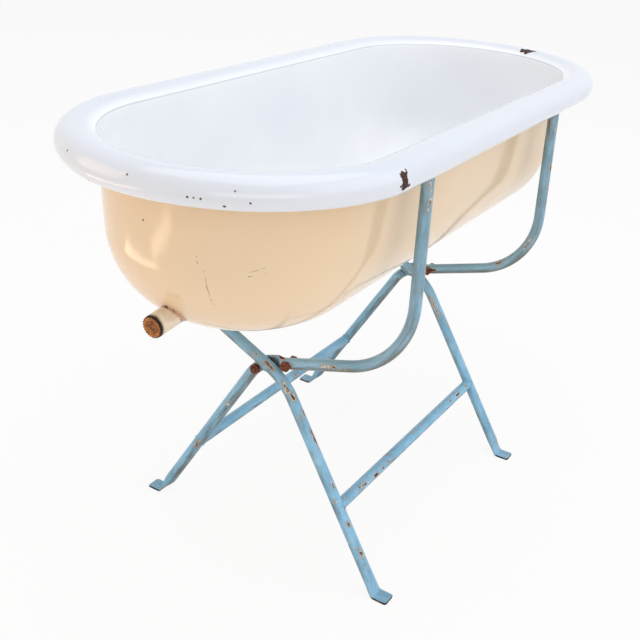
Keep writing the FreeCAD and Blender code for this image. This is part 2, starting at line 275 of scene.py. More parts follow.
# %% [markdown]
# ## Materials
# Old enamelware is read by its wear as much as by its colour: chips that go down to rusted steel, paint that
# has been brushed on more than once, dirt and painted shade on the sides that face down. Painted pictures
# could carry all that, but they need unwrapping and have one sharpness. Here it is made from noise at the
# size of the real grain, from marks at known places, and from values that ride on the points of a mesh, such
# as the wear of paint. A mark is a point on the surface with a radius, and the shader finds the nearest one.


# %% Start of a material
# Settings that many nodes share: noise in four dimensions takes a seed as its W, a Map Range with a soft step
# turns noise into patches, and a Mix of colours lays one coat over another. Inputs go by number where names
# repeat: 1 to 4 of a Map Range are from, to and the two results, and 6 and 7 of a Mix are its colours.
seeded = {"noise_dimensions": "4D"}
soft = {"interpolation_type": "SMOOTHSTEP"}
colour = {"data_type": "RGBA"}


def begin(name, roughness, ior):
    """A new material with its tree, its shader and the place on the piece in metres."""
    material = bpy.data.materials.new(name)
    material.use_nodes = True
    tree = material.node_tree
    shader = tree.nodes["Principled BSDF"]
    feed(tree, shader, {"Roughness": roughness, "IOR": ior})
    return material, tree, shader, add(tree, "ShaderNodeTexCoord").outputs["Object"]


def grain_scale(size):
    """The scale at which noise has patches of about a size in mm."""
    return 0.6 / (size * MM)


print("noise with patches of 10 mm has the scale", grain_scale(10))


# %% Marks with ragged edges
def shaken(tree, where, size, reach):
    """The place moved about by noise, up to a reach in mm, which gives marks a ragged edge."""
    wild = add(tree, "ShaderNodeTexNoise", {"Vector": where, "Scale": grain_scale(size), "Detail": 3.0})
    centred = add(tree, "ShaderNodeVectorMath", {0: wild.outputs["Color"], 1: (0.5, 0.5, 0.5)},
                  operation="SUBTRACT")
    moved = add(tree, "ShaderNodeVectorMath", {0: centred, "Scale": 2 * reach * MM}, operation="SCALE")
    return add(tree, "ShaderNodeVectorMath", {0: where, 1: moved}, operation="ADD")


def off_marks(tree, where, marks):
    """Distance in mm to the edge of the nearest mark, below zero inside it. Radii are in mm."""
    nearest = None
    for point, radius in marks:
        away = add(tree, "ShaderNodeVectorMath", {0: where, 1: point}, operation="DISTANCE")
        edge = add(tree, "ShaderNodeMath", {0: away, 1: 1 / MM, 2: -radius}, operation="MULTIPLY_ADD")
        if nearest is not None:
            edge = add(tree, "ShaderNodeMath", {0: nearest, 1: edge}, operation="MINIMUM")
        nearest = edge
    return nearest


def off_lines(tree, where, lines):
    """Distance in mm to the nearest of some straight scratches, each a start and an end."""
    nearest = None
    for start, end in lines:
        run = end - start
        gone = add(tree, "ShaderNodeVectorMath", {0: where, 1: start}, operation="SUBTRACT")
        way = run / run.length_squared
        share = add(tree, "ShaderNodeVectorMath", {0: gone, 1: way}, operation="DOT_PRODUCT")
        held = add(tree, "ShaderNodeClamp", {0: share})
        foot = add(tree, "ShaderNodeVectorMath", {0: run, "Scale": held}, operation="SCALE")
        away = add(tree, "ShaderNodeVectorMath", {0: gone, 1: foot}, operation="DISTANCE")
        if nearest is not None:
            away = add(tree, "ShaderNodeMath", {0: nearest, 1: away}, operation="MINIMUM")
        nearest = away
    return add(tree, "ShaderNodeMath", {0: nearest, 1: MM}, operation="DIVIDE")


print("marks can be found by", shaken.__name__, off_marks.__name__, "and", off_lines.__name__)

# %% [markdown]
# ## Fired enamel
# The bath is coated with glass that was melted onto the steel: white inside and over the rim, cream outside.
# Two materials on two sets of faces would do, but the border of the real coats wanders under the lip. So one
# material mixes both, by the distance from the lip that the points of the bath carry. The chips and scratches
# of the drain end are placed in the bath's own terms, along the rim and round it, so that they stay on it.

# %% Chips and scratches of the bath
# A chip is a place on the rim and the bites that it is made of, each with its own place from there and its
# radius. A speck is a place and a radius. A scratch runs between two places on the wall. All are in mm, but
# the first value of a place on the wall is in degrees.
near_chip = (281, 28, [
    (4, -11, 1.0), (4, -8, 1.5), (-2, -8, 3.0), (-6, -8, 1.0), (1, -6, 3.0), (-4, -6, 3.0), (1, -4, 2.5),
    (-2, -3, 3.5), (0, 1, 4.5), (2, 4, 3.0), (-2, 3, 3.0), (-6, 5, 1.5), (-1, 7, 3.5), (4, 7, 2.5),
    (8, 7, 2.0), (1, 9, 2.0)])
far_chip = (1085, -11, [
    (13, 2, 2.5), (7, -3, 5.5), (-3, -8, 3.5), (2, 0, 6.5), (-5, -1, 5.5), (-8, 3, 4.0), (-14, 4, 2.0)])
rim_specks = [
    (-81, 22, 0.9), (10, 22, 1.0), (69, 33, 1.0), (75, 33, 0.7), (81, 33, 0.9), (101, 40, 1.2),
    (123, 34, 0.8), (-46, 45, 1.1), (110, 23, 0.7)]
wall_specks = [(-4, 524, 0.9)]
scratches = [(21, 484, 22, 462), (22, 462, 24, 442), (37, 485, 43, 490), (37, 480, 44, 484),
             (18, 498, 18.5, 490)]


def on_rim(along, around):
    """A point along the crest from the middle of the drain end, and round the rim outward from the crest."""
    quarter = crest_u * math.pi / 2
    past = min(max(along * MM - quarter, 0), 2 * spine_half)
    turn = (along * MM - past) / crest_u
    radius, centre = (rim_edge_radius, curl_centre) if around > 0 else (rim_top_radius, top_centre)
    lean = around * MM / radius
    out = centre[0] + radius * math.sin(lean)
    height = centre[1] + radius * math.cos(lean)
    return Vector((past - spine_half - out * math.cos(turn), -out * math.sin(turn), height))


def on_wall(turn, height):
    """A point on the outside of the drain end: degrees from its middle to the right, and height."""
    above = height * MM - floor_z
    out = floor_u + floor_radius / math.cos(wall_draft) + above * math.tan(wall_draft)
    if above < -floor_radius * math.sin(wall_draft):
        out = floor_u + math.sqrt(floor_radius ** 2 - above ** 2)
    turn = math.radians(turn)
    return Vector((-spine_half - out * math.cos(turn), -out * math.sin(turn), height * MM))


enamel_marks = [(on_rim(along + a, around + b), radius)
                for along, around, bites in (near_chip, far_chip) for a, b, radius in bites]
enamel_marks += [(on_rim(along, around), radius) for along, around, radius in rim_specks]
enamel_marks += [(on_wall(turn, height), radius) for turn, height, radius in wall_specks]
enamel_lines = [(on_wall(*line[:2]), on_wall(*line[2:])) for line in scratches]
print("enamel:", len(enamel_marks), "bites and specks,", len(enamel_lines), "scratches")

# %% The two coats of enamel
# Glass fused to steel: a hard, wet-looking gloss over an even colour, with only faint clouds in it. Close
# under the rim the cream is painted browner, as painted shade below the roll.
enamel_roughness = 0.11
enamel, tree, shader, where = begin("fired_enamel", enamel_roughness, 1.5)
from_lip = add(tree, "ShaderNodeAttribute", attribute_name="from_lip").outputs["Fac"]
border_noise = add(tree, "ShaderNodeTexNoise", {"Vector": where, "Scale": grain_scale(30)}, **seeded)
wander = add(tree, "ShaderNodeMapRange", {0: border_noise, 3: -2.5, 4: 2.5})
border = add(tree, "ShaderNodeMath", {0: from_lip, 1: wander}, operation="ADD")
cream_share = add(tree, "ShaderNodeMapRange", {0: border, 1: -7.0, 2: -5.4}, **soft)
# Painted light and shade: the white is painted greyer over the rim and lighter deep inside the bath
inside = add(tree, "ShaderNodeMapRange", {0: from_lip, 1: -64.0, 2: -82.0}, **soft)
white = add(tree, "ShaderNodeMix", {0: inside, 6: "#DDE2EB", 7: "#FAFBFC"}, **colour)
cloud_noise = add(tree, "ShaderNodeTexNoise",
                  {"Vector": where, "W": 2.0, "Scale": grain_scale(120)}, **seeded)
clouds = add(tree, "ShaderNodeMapRange", {0: cloud_noise, 1: 0.35, 2: 0.65, 4: 0.35}, **soft)
white = add(tree, "ShaderNodeMix", {0: clouds, 6: white, 7: "#E6EAF1"}, **colour)
cloud_noise = add(tree, "ShaderNodeTexNoise",
                  {"Vector": where, "W": 5.0, "Scale": grain_scale(160)}, **seeded)
clouds = add(tree, "ShaderNodeMapRange", {0: cloud_noise, 1: 0.3, 2: 0.7}, **soft)
cream = add(tree, "ShaderNodeMix", {0: clouds, 6: "#EBD2B1", 7: "#E7CCA8"}, **colour)
# Painted shade: the cream turns browner below the roll of the rim
painted_roll_shade = add(tree, "ShaderNodeMapRange", {0: from_lip, 1: 118.0, 2: 62.0, 4: 0.5}, **soft)
cream = add(tree, "ShaderNodeMix", {0: painted_roll_shade, 6: cream, 7: "#CFAE7E"}, **colour)
coat = add(tree, "ShaderNodeMix", {0: cream_share, 6: white, 7: cream}, **colour)
print("enamel coats:", len(tree.nodes), "nodes")

# %% The wear of the enamel, and painted shade at the rim
# A thin grey line of painted shade lies where the rim turns down into the bath. The lip has lost its coat in
# places, and its dark line is partly rust and partly painted shade. Chips are dark and matt because the steel
# below has rusted, with a pale bruise round them.
turn_place = add(tree, "ShaderNodeMath", {0: from_lip, 1: rim_run / MM}, operation="ADD")
off_turn = add(tree, "ShaderNodeMath", {0: turn_place}, operation="ABSOLUTE")
painted_turn_shade = add(tree, "ShaderNodeMapRange", {0: off_turn, 1: 1.6, 2: 0.5, 4: 0.5}, **soft)
coat = add(tree, "ShaderNodeMix", {0: painted_turn_shade, 6: coat, 7: "#A9AFB8"}, **colour)
off_lip = add(tree, "ShaderNodeMath", {0: from_lip}, operation="ABSOLUTE")
lip_noise = add(tree, "ShaderNodeTexNoise",
                {"Vector": where, "W": 4.0, "Scale": grain_scale(9), "Detail": 3.0}, **seeded)
lip_gaps = add(tree, "ShaderNodeMapRange", {0: lip_noise, 1: 0.42, 2: 0.55}, **soft)
lip_rust_and_shade = add(tree, "ShaderNodeMapRange", {0: off_lip, 1: 1.6, 2: 0.6, 4: lip_gaps}, **soft)
coat = add(tree, "ShaderNodeMix", {0: lip_rust_and_shade, 6: coat, 7: "#7A5638"}, **colour)
scratch_noise = add(tree, "ShaderNodeTexNoise",
                    {"Vector": where, "W": 6.0, "Scale": grain_scale(4), "Detail": 3.0}, **seeded)
scratch_gaps = add(tree, "ShaderNodeMapRange", {0: scratch_noise, 1: 0.36, 2: 0.6, 4: 0.75}, **soft)
off_scratch = off_lines(tree, shaken(tree, where, 9, 1.2), enamel_lines)
scratched = add(tree, "ShaderNodeMapRange", {0: off_scratch, 1: 0.8, 2: 0.3, 4: scratch_gaps}, **soft)
coat = add(tree, "ShaderNodeMix", {0: scratched, 6: coat, 7: "#7D6649"}, **colour)
off_chip = off_marks(tree, shaken(tree, where, 3.5, 1.3), enamel_marks)
bruise = add(tree, "ShaderNodeMapRange", {0: off_chip, 1: 0.8, 2: 0.1}, **soft)
coat = add(tree, "ShaderNodeMix", {0: bruise, 6: coat, 7: "#B5AAA2"}, **colour)
rust_noise = add(tree, "ShaderNodeTexNoise",
                 {"Vector": where, "Scale": grain_scale(2.2), "Detail": 3.0}, **seeded)
rust_share = add(tree, "ShaderNodeMapRange", {0: rust_noise, 1: 0.4, 2: 0.62}, **soft)
rust = add(tree, "ShaderNodeMix", {0: rust_share, 6: "#2A1613", 7: "#452820"}, **colour)
chipped = add(tree, "ShaderNodeMapRange", {0: off_chip, 1: 0.25, 2: -0.15}, **soft)
coat = add(tree, "ShaderNodeMix", {0: chipped, 6: coat, 7: rust}, **colour)
roughness = add(tree, "ShaderNodeMapRange", {0: chipped, 3: enamel_roughness, 4: 0.8})
skin_noise = add(tree, "ShaderNodeTexNoise",
                 {"Vector": where, "Scale": grain_scale(14), "Detail": 1.0}, **seeded)
relief = add(tree, "ShaderNodeMath", {0: chipped, 1: -6.0, 2: skin_noise}, operation="MULTIPLY_ADD")
bump = add(tree, "ShaderNodeBump", {"Height": relief, "Distance": 0.06 * MM})
feed(tree, shader, {"Base Color": coat, "Roughness": roughness, "Normal": bump})
print("enamel with its wear:", len(tree.nodes), "nodes")

# %% Cream enamel of the spout
# The same glass as on the bath, but fired over a soldered pipe: thinner, duller, and stained and cracked
# brown at the root. A value on the points says how far a place is from the root, in mm.
cream_enamel, tree, shader, where = begin("cream_enamel_on_pipe", 0.28, 1.5)
from_root = add(tree, "ShaderNodeAttribute", attribute_name="from_root").outputs["Fac"]
cloud_noise = add(tree, "ShaderNodeTexNoise",
                  {"Vector": where, "Scale": grain_scale(8), "Detail": 3.0}, **seeded)
clouds = add(tree, "ShaderNodeMapRange", {0: cloud_noise, 1: 0.35, 2: 0.65}, **soft)
coat = add(tree, "ShaderNodeMix", {0: clouds, 6: "#F2E5D2", 7: "#E3D0B6"}, **colour)
stain_noise = add(tree, "ShaderNodeTexNoise",
                  {"Vector": where, "W": 1.0, "Scale": grain_scale(6), "Detail": 3.0}, **seeded)
off_stain = add(tree, "ShaderNodeMath", {0: stain_noise, 1: -9.0, 2: from_root}, operation="MULTIPLY_ADD")
stained = add(tree, "ShaderNodeMapRange", {0: off_stain, 1: 2.5, 2: -1.5}, **soft)
coat = add(tree, "ShaderNodeMix", {0: stained, 6: coat, 7: "#C9A08A"}, **colour)
crack_noise = add(tree, "ShaderNodeTexNoise", {"Vector": where, "W": 7.0, "Scale": grain_scale(7)}, **seeded)
crack_side = add(tree, "ShaderNodeMath", {0: crack_noise, 1: 0.5}, operation="SUBTRACT")
off_crack = add(tree, "ShaderNodeMath", {0: crack_side}, operation="ABSOLUTE")
near_root = add(tree, "ShaderNodeMapRange", {0: from_root, 1: 9.0, 2: 2.0}, **soft)
cracked = add(tree, "ShaderNodeMapRange", {0: off_crack, 1: 0.035, 2: 0.01, 4: near_root}, **soft)
coat = add(tree, "ShaderNodeMix", {0: cracked, 6: coat, 7: "#5A3A2C"}, **colour)
skin_noise = add(tree, "ShaderNodeTexNoise",
                 {"Vector": where, "Scale": grain_scale(1.6), "Detail": 3.0}, **seeded)
bump = add(tree, "ShaderNodeBump", {"Height": skin_noise, "Distance": 0.12 * MM})
feed(tree, shader, {"Base Color": coat, "Normal": bump})
print("spout enamel:", len(tree.nodes), "nodes")

# %% [markdown]
# ## Blue paint
# The stand was brushed with light blue oil paint more than once, over old primer, and it has chipped and
# gathered dirt since. It could be painted by hand on an unwrapped tube. But the points of the tubes carry
# a place that follows the tube, in which a brush stroke is short, so plain noise in that place turns into
# streaks along the tube. They also carry the wear: 10 at the edge of a chip and more inside it.

# %% Coats of blue paint
# Brushed oil paint: a soft gloss with streaks along the tubes. Bristles leave streaks finer than a pixel, so
# they are drawn about 2 mm wide.
paint_roughness = 0.3
blue_paint, tree, shader, where = begin("blue_paint_on_steel", paint_roughness, 1.4)
brushed = add(tree, "ShaderNodeAttribute", attribute_name="brush_place").outputs["Vector"]
wear = add(tree, "ShaderNodeAttribute", attribute_name="wear").outputs["Fac"]
facing = add(tree, "ShaderNodeSeparateXYZ", {0: where.node.outputs["Normal"]}).outputs["Z"]
height = add(tree, "ShaderNodeSeparateXYZ", {0: where}).outputs["Z"]
coat_noise = add(tree, "ShaderNodeTexNoise",
                 {"Vector": where, "Scale": grain_scale(40), "Detail": 3.0}, **seeded)
thick = add(tree, "ShaderNodeMapRange", {0: coat_noise, 1: 0.36, 2: 0.64}, **soft)
coat = add(tree, "ShaderNodeMix", {0: thick, 6: "#8DC5E7", 7: "#79B1D3"}, **colour)
streak_noise = add(tree, "ShaderNodeTexNoise",
                   {"Vector": brushed, "W": 3.0, "Scale": grain_scale(1.8), "Detail": 4.0}, **seeded)
pale_streaks = add(tree, "ShaderNodeMapRange", {0: streak_noise, 1: 0.5, 2: 0.7, 4: 0.35}, **soft)
coat = add(tree, "ShaderNodeMix", {0: pale_streaks, 6: coat, 7: "#B4D5E6"}, **colour)
streak_noise = add(tree, "ShaderNodeTexNoise",
                   {"Vector": brushed, "W": 8.0, "Scale": grain_scale(2.4), "Detail": 4.0}, **seeded)
dark_streaks = add(tree, "ShaderNodeMapRange", {0: streak_noise, 1: 0.52, 2: 0.7, 4: 0.4}, **soft)
coat = add(tree, "ShaderNodeMix", {0: dark_streaks, 6: coat, 7: "#668E9F"}, **colour)
print("paint coats:", len(tree.nodes), "nodes")

# %% Dirt and painted shade on the paint
# Specks all over, a brown film on the sides that face down that is partly dirt and partly painted shade, dust
# near the floor and a grey film high up
speck_noise = add(tree, "ShaderNodeTexNoise",
                  {"Vector": where, "W": 9.0, "Scale": grain_scale(2.0), "Detail": 4.0}, **seeded)
specks = add(tree, "ShaderNodeMapRange", {0: speck_noise, 1: 0.58, 2: 0.68, 4: 0.45}, **soft)
coat = add(tree, "ShaderNodeMix", {0: specks, 6: coat, 7: "#A3A490"}, **colour)
# The brown film on the sides that face down is painted shade as well as dirt
film_noise = add(tree, "ShaderNodeTexNoise",
                 {"Vector": brushed, "W": 5.0, "Scale": grain_scale(3), "Detail": 4.0}, **seeded)
film_edge = add(tree, "ShaderNodeMapRange", {0: film_noise, 3: -1.1, 4: 1.1})
under = add(tree, "ShaderNodeMath", {0: facing, 1: film_edge}, operation="ADD")
dirt_and_shade_film = add(tree, "ShaderNodeMapRange", {0: under, 1: 0.3, 2: -0.7, 4: 0.85}, **soft)
coat = add(tree, "ShaderNodeMix", {0: dirt_and_shade_film, 6: coat, 7: "#5F5A46"}, **colour)
dust_noise = add(tree, "ShaderNodeTexNoise",
                 {"Vector": where, "W": 9.0, "Scale": grain_scale(8), "Detail": 4.0}, **seeded)
low = add(tree, "ShaderNodeMath", {0: height, 1: 9.0, 2: dust_noise}, operation="MULTIPLY_ADD")
dust_and_highlight = add(tree, "ShaderNodeMapRange", {0: low, 1: 0.85, 2: 0.45, 4: 0.12}, **soft)
coat = add(tree, "ShaderNodeMix", {0: dust_and_highlight, 6: coat, 7: "#9B9A86"}, **colour)
film_noise = add(tree, "ShaderNodeTexNoise",
                 {"Vector": brushed, "W": 11.0, "Scale": grain_scale(9), "Detail": 3.0}, **seeded)
high = add(tree, "ShaderNodeMath", {0: film_noise, 1: 0.16, 2: height}, operation="MULTIPLY_ADD")
dirt_and_shade_film = add(tree, "ShaderNodeMapRange", {0: high, 1: 0.22, 2: 0.42, 4: 0.24}, **soft)
coat = add(tree, "ShaderNodeMix", {0: dirt_and_shade_film, 6: coat, 7: "#8D8B78"}, **colour)
print("paint with its dirt:", len(tree.nodes), "nodes")

# %% How far the paint is worn
# The wear on the points gives the chips that were placed, and round spots about 34 mm apart are added where
# the paint is thin. Noise along the brush strokes then tears the edge of both.
spot_spacing = 34
thin_noise = add(tree, "ShaderNodeTexNoise", {"Vector": where, "W": 6.0, "Scale": grain_scale(60)}, **seeded)
spot_top = add(tree, "ShaderNodeMapRange", {0: thin_noise, 1: 0.5, 2: 0.64, 3: 8.6, 4: 10.8}, **soft)
spots = add(tree, "ShaderNodeTexVoronoi",
            {"Vector": shaken(tree, where, 4.0, 2.0), "Scale": 1 / (spot_spacing * MM)})
spot_wear = add(tree, "ShaderNodeMath", {0: spots, 1: -spot_spacing, 2: spot_top}, operation="MULTIPLY_ADD")
most_wear = add(tree, "ShaderNodeMath", {0: wear, 1: spot_wear}, operation="MAXIMUM")
torn_noise = add(tree, "ShaderNodeTexNoise",
                 {"Vector": brushed, "W": 1.0, "Scale": grain_scale(1.3), "Detail": 4.0}, **seeded)
torn = add(tree, "ShaderNodeMapRange", {0: torn_noise, 3: -3.0, 4: 3.0})
edge = add(tree, "ShaderNodeMath", {0: most_wear, 1: torn}, operation="ADD")
print("paint with its wear:", len(tree.nodes), "nodes")

# %% Stain, primer and rust
# Outward to inward, a chip has a brown stain, a pale edge of old primer, orange rust and a dark core. The cut
# ends of the feet, low and facing sideways, are bare steel that has rusted nearly black.
stain_noise = add(tree, "ShaderNodeTexNoise",
                  {"Vector": brushed, "W": 4.0, "Scale": grain_scale(2.5), "Detail": 3.0}, **seeded)
stain_gaps = add(tree, "ShaderNodeMapRange", {0: stain_noise, 1: 0.42, 2: 0.6, 4: 0.6}, **soft)
stain = add(tree, "ShaderNodeMapRange", {0: edge, 1: 5.0, 2: 9.0, 4: stain_gaps}, **soft)
coat = add(tree, "ShaderNodeMix", {0: stain, 6: coat, 7: "#A58C66"}, **colour)
primer_noise = add(tree, "ShaderNodeTexNoise",
                   {"Vector": where, "W": 7.0, "Scale": grain_scale(3.0), "Detail": 3.0}, **seeded)
primer_gaps = add(tree, "ShaderNodeMapRange", {0: primer_noise, 1: 0.46, 2: 0.56}, **soft)
primer = add(tree, "ShaderNodeMapRange", {0: edge, 1: 9.3, 2: 9.7, 4: primer_gaps}, **soft)
coat = add(tree, "ShaderNodeMix", {0: primer, 6: coat, 7: "#DCD7C8"}, **colour)
rust_noise = add(tree, "ShaderNodeTexNoise",
                 {"Vector": where, "W": 2.0, "Scale": grain_scale(1.6), "Detail": 3.0}, **seeded)
rust_depth = add(tree, "ShaderNodeMath", {0: edge, 1: rust_noise}, operation="ADD")
core = add(tree, "ShaderNodeMapRange", {0: rust_depth, 1: 10.8, 2: 11.6}, **soft)
rust = add(tree, "ShaderNodeMix", {0: core, 6: "#A26731", 7: "#4A2C19"}, **colour)
rusted = add(tree, "ShaderNodeMapRange", {0: edge, 1: 10.0, 2: 10.5}, **soft)
coat = add(tree, "ShaderNodeMix", {0: rusted, 6: coat, 7: rust}, **colour)
tilt = add(tree, "ShaderNodeMath", {0: facing}, operation="ABSOLUTE")
sideways = add(tree, "ShaderNodeMapRange", {0: tilt, 1: 0.97, 2: 0.86}, **soft)
cut_end = add(tree, "ShaderNodeMapRange", {0: height, 1: 3.25 * MM, 2: 2.95 * MM, 4: sideways}, **soft)
end_noise = add(tree, "ShaderNodeTexNoise",
                {"Vector": where, "Scale": grain_scale(2.5), "Detail": 3.0}, **seeded)
end_patches = add(tree, "ShaderNodeMapRange", {0: end_noise, 1: 0.5, 2: 0.66}, **soft)
end_rust = add(tree, "ShaderNodeMix", {0: end_patches, 6: "#2A1B15", 7: "#7A4A2A"}, **colour)
coat = add(tree, "ShaderNodeMix", {0: cut_end, 6: coat, 7: end_rust}, **colour)
bare = add(tree, "ShaderNodeMath", {0: rusted, 1: cut_end}, operation="MAXIMUM")
roughness = add(tree, "ShaderNodeMapRange", {0: bare, 3: paint_roughness, 4: 0.85})
skin_noise = add(tree, "ShaderNodeTexNoise",
                 {"Vector": brushed, "Scale": grain_scale(2.2), "Detail": 3.0}, **seeded)
relief = add(tree, "ShaderNodeMath", {0: skin_noise, 1: rusted}, operation="SUBTRACT")
bump = add(tree, "ShaderNodeBump", {"Height": relief, "Distance": 0.14 * MM})
feed(tree, shader, {"Base Color": coat, "Roughness": roughness, "Normal": bump})
print("blue paint:", len(tree.nodes), "nodes")

# %% [markdown]
# ## Rust, rubber and dull steel
# The small pieces were never painted, or have lost their paint. A plain brown would do from afar, but rust is
# read by its patches, so each gets two or three browns over noise. The real grain of rust is a fraction of a
# millimetre, which is finer than a pixel, so its patches are drawn 1 to 4 mm across.

# %% Rusted fasteners
# Bare steel left out for years: dark red-brown and matt, with pale patches scattered over it as painted
# highlights. One nut at the head end was painted over together with the stand, so a mark at its place turns
# it blue.
painted_nuts = [(Vector((192, 21, 255)) * MM, 11.0)]
rusted_steel, tree, shader, where = begin("rusted_steel", 0.82, 1.5)
patch_noise = add(tree, "ShaderNodeTexNoise",
                  {"Vector": where, "Scale": grain_scale(3.0), "Detail": 4.0}, **seeded)
patches = add(tree, "ShaderNodeMapRange", {0: patch_noise, 1: 0.35, 2: 0.65}, **soft)
coat = add(tree, "ShaderNodeMix", {0: patches, 6: "#4A2117", 7: "#7E4229"}, **colour)
# Painted highlights: pale patches scattered over the rust
dust_noise = add(tree, "ShaderNodeTexNoise",
                 {"Vector": where, "W": 3.0, "Scale": grain_scale(1.6), "Detail": 3.0}, **seeded)
dust_and_highlight = add(tree, "ShaderNodeMapRange", {0: dust_noise, 1: 0.54, 2: 0.72}, **soft)
coat = add(tree, "ShaderNodeMix", {0: dust_and_highlight, 6: coat, 7: "#B57B56"}, **colour)
off_paint = off_marks(tree, shaken(tree, where, 4, 1.5), painted_nuts)
painted = add(tree, "ShaderNodeMapRange", {0: off_paint, 1: 0.5, 2: -0.5}, **soft)
coat = add(tree, "ShaderNodeMix", {0: painted, 6: coat, 7: "#7FA9BD"}, **colour)
skin_noise = add(tree, "ShaderNodeTexNoise",
                 {"Vector": where, "Scale": grain_scale(1.4), "Detail": 4.0}, **seeded)
bump = add(tree, "ShaderNodeBump", {"Height": skin_noise, "Distance": 0.35 * MM})
feed(tree, shader, {"Base Color": coat, "Normal": bump})
print("rusted steel:", len(tree.nodes), "nodes")

# %% Rusted iron of the plug
# Cast iron that has rusted orange where water dried on its face, in rings, and black where fingers grip it.
# A value on the points is the distance from the plug's axis in mm.
rusted_iron, tree, shader, where = begin("rusted_iron", 0.75, 1.5)
radius = add(tree, "ShaderNodeAttribute", attribute_name="radius").outputs["Fac"]
patch_noise = add(tree, "ShaderNodeTexNoise",
                  {"Vector": where, "Scale": grain_scale(4.0), "Detail": 4.0}, **seeded)
patches = add(tree, "ShaderNodeMapRange", {0: patch_noise, 1: 0.35, 2: 0.65}, **soft)
coat = add(tree, "ShaderNodeMix", {0: patches, 6: "#85491D", 7: "#B87636"}, **colour)
ring_phase = add(tree, "ShaderNodeMath", {0: radius, 1: 2.2}, operation="MULTIPLY")
ring_wave = add(tree, "ShaderNodeMath", {0: ring_phase}, operation="SINE")
ring_noise = add(tree, "ShaderNodeTexNoise",
                 {"Vector": where, "W": 2.0, "Scale": grain_scale(3.0), "Detail": 3.0}, **seeded)
ring_height = add(tree, "ShaderNodeMath", {0: ring_noise, 1: 2.6, 2: ring_wave}, operation="MULTIPLY_ADD")
on_face = add(tree, "ShaderNodeMapRange", {0: radius, 1: 9.6, 2: 7.4}, **soft)
rings = add(tree, "ShaderNodeMapRange", {0: ring_height, 1: 1.5, 2: 2.1, 4: on_face}, **soft)
coat = add(tree, "ShaderNodeMix", {0: rings, 6: coat, 7: "#40281A"}, **colour)
pit_noise = add(tree, "ShaderNodeTexNoise",
                {"Vector": where, "W": 5.0, "Scale": grain_scale(2.2), "Detail": 3.0}, **seeded)
pits = add(tree, "ShaderNodeMapRange", {0: pit_noise, 1: 0.58, 2: 0.7, 4: 0.8}, **soft)
coat = add(tree, "ShaderNodeMix", {0: pits, 6: coat, 7: "#4A2C1A"}, **colour)
grip = add(tree, "ShaderNodeMapRange", {0: radius, 1: 11.2, 2: 12.2}, **soft)
coat = add(tree, "ShaderNodeMix", {0: grip, 6: coat, 7: "#281811"}, **colour)
skin_noise = add(tree, "ShaderNodeTexNoise",
                 {"Vector": where, "Scale": grain_scale(1.2), "Detail": 4.0}, **seeded)
bump = add(tree, "ShaderNodeBump", {"Height": skin_noise, "Distance": 0.3 * MM})
feed(tree, shader, {"Base Color": coat, "Normal": bump})
print("rusted iron:", len(tree.nodes), "nodes")

# %% Rubber and dull steel
# Black rubber gone grey with age is matt and a little blotchy, and so is white rubber gone yellow. The steel
# of the washers has lost its shine and shows brown where rust begins.
rubbers = []
for name, roughness, fresh, faded in (("aged_rubber", 0.7, "#2B2826", "#4A4541"),
                                      ("yellowed_rubber", 0.6, "#CDBFA8", "#A89274")):
    material, tree, shader, where = begin(name, roughness, 1.52)
    age_noise = add(tree, "ShaderNodeTexNoise",
                    {"Vector": where, "Scale": grain_scale(3.0), "Detail": 3.0}, **seeded)
    age = add(tree, "ShaderNodeMapRange", {0: age_noise, 1: 0.4, 2: 0.65}, **soft)
    coat = add(tree, "ShaderNodeMix", {0: age, 6: fresh, 7: faded}, **colour)
    feed(tree, shader, {"Base Color": coat})
    rubbers.append(material)
dull_steel, tree, shader, where = begin("dull_steel", 0.45, 1.5)
rust_noise = add(tree, "ShaderNodeTexNoise",
                 {"Vector": where, "Scale": grain_scale(3.0), "Detail": 4.0}, **seeded)
rust_share = add(tree, "ShaderNodeMapRange", {0: rust_noise, 1: 0.5, 2: 0.68}, **soft)
coat = add(tree, "ShaderNodeMix", {0: rust_share, 6: "#8B8782", 7: "#5E4334"}, **colour)
skin_noise = add(tree, "ShaderNodeTexNoise",
                 {"Vector": where, "Scale": grain_scale(1.0), "Detail": 3.0}, **seeded)
bump = add(tree, "ShaderNodeBump", {"Height": skin_noise, "Distance": 0.08 * MM})
feed(tree, shader, {"Base Color": coat, "Metallic": 0.8, "Normal": bump})

# These solids are right as they come from the frame, and only change their material
kept_solids = {"post_tip": rubbers[0], "plug_washer": rubbers[1],
               "pivot_spacer": dull_steel, "pivot_washer": dull_steel}
for node_name, node in frame["nodes"].items():
    for start, material in kept_solids.items():
        if node_name.startswith(start):
            node.data.materials.clear()
            node.data.materials.append(material)
            print("kept solid:", node_name, "in", material.name)

# %% [markdown]
# ## Bath shell
# The real bath is one sheet of steel, drawn deep and rolled outward at the rim, then fired with glass enamel:
# white inside and over the rim, cream outside. It could be modelled by hand from a cube with subdivision, but
# its shape follows a rule, since the same section runs all the way round an oval. So a Geometry Nodes tree
# sweeps the section along the crest of the rim. Fired sheet is never quite even, so the tree adds a gentle
# wave, which is what makes the reflections on enamel look real.


# %% Section of the sheet
def arc_points(centre, radius, start, end, steps):
    """Points of an arc in the section, from one angle to another."""
    angles = [start + (end - start) * n / steps for n in range(steps + 1)]
    return [(centre[0] + radius * math.cos(a), centre[1] + radius * math.sin(a)) for a in angles]


def line_points(start, end, steps):
    """Points between two others in the section, without those two."""
    return [tuple(a + (b - a) * n / steps for a, b in zip(start, end)) for n in range(1, steps)]


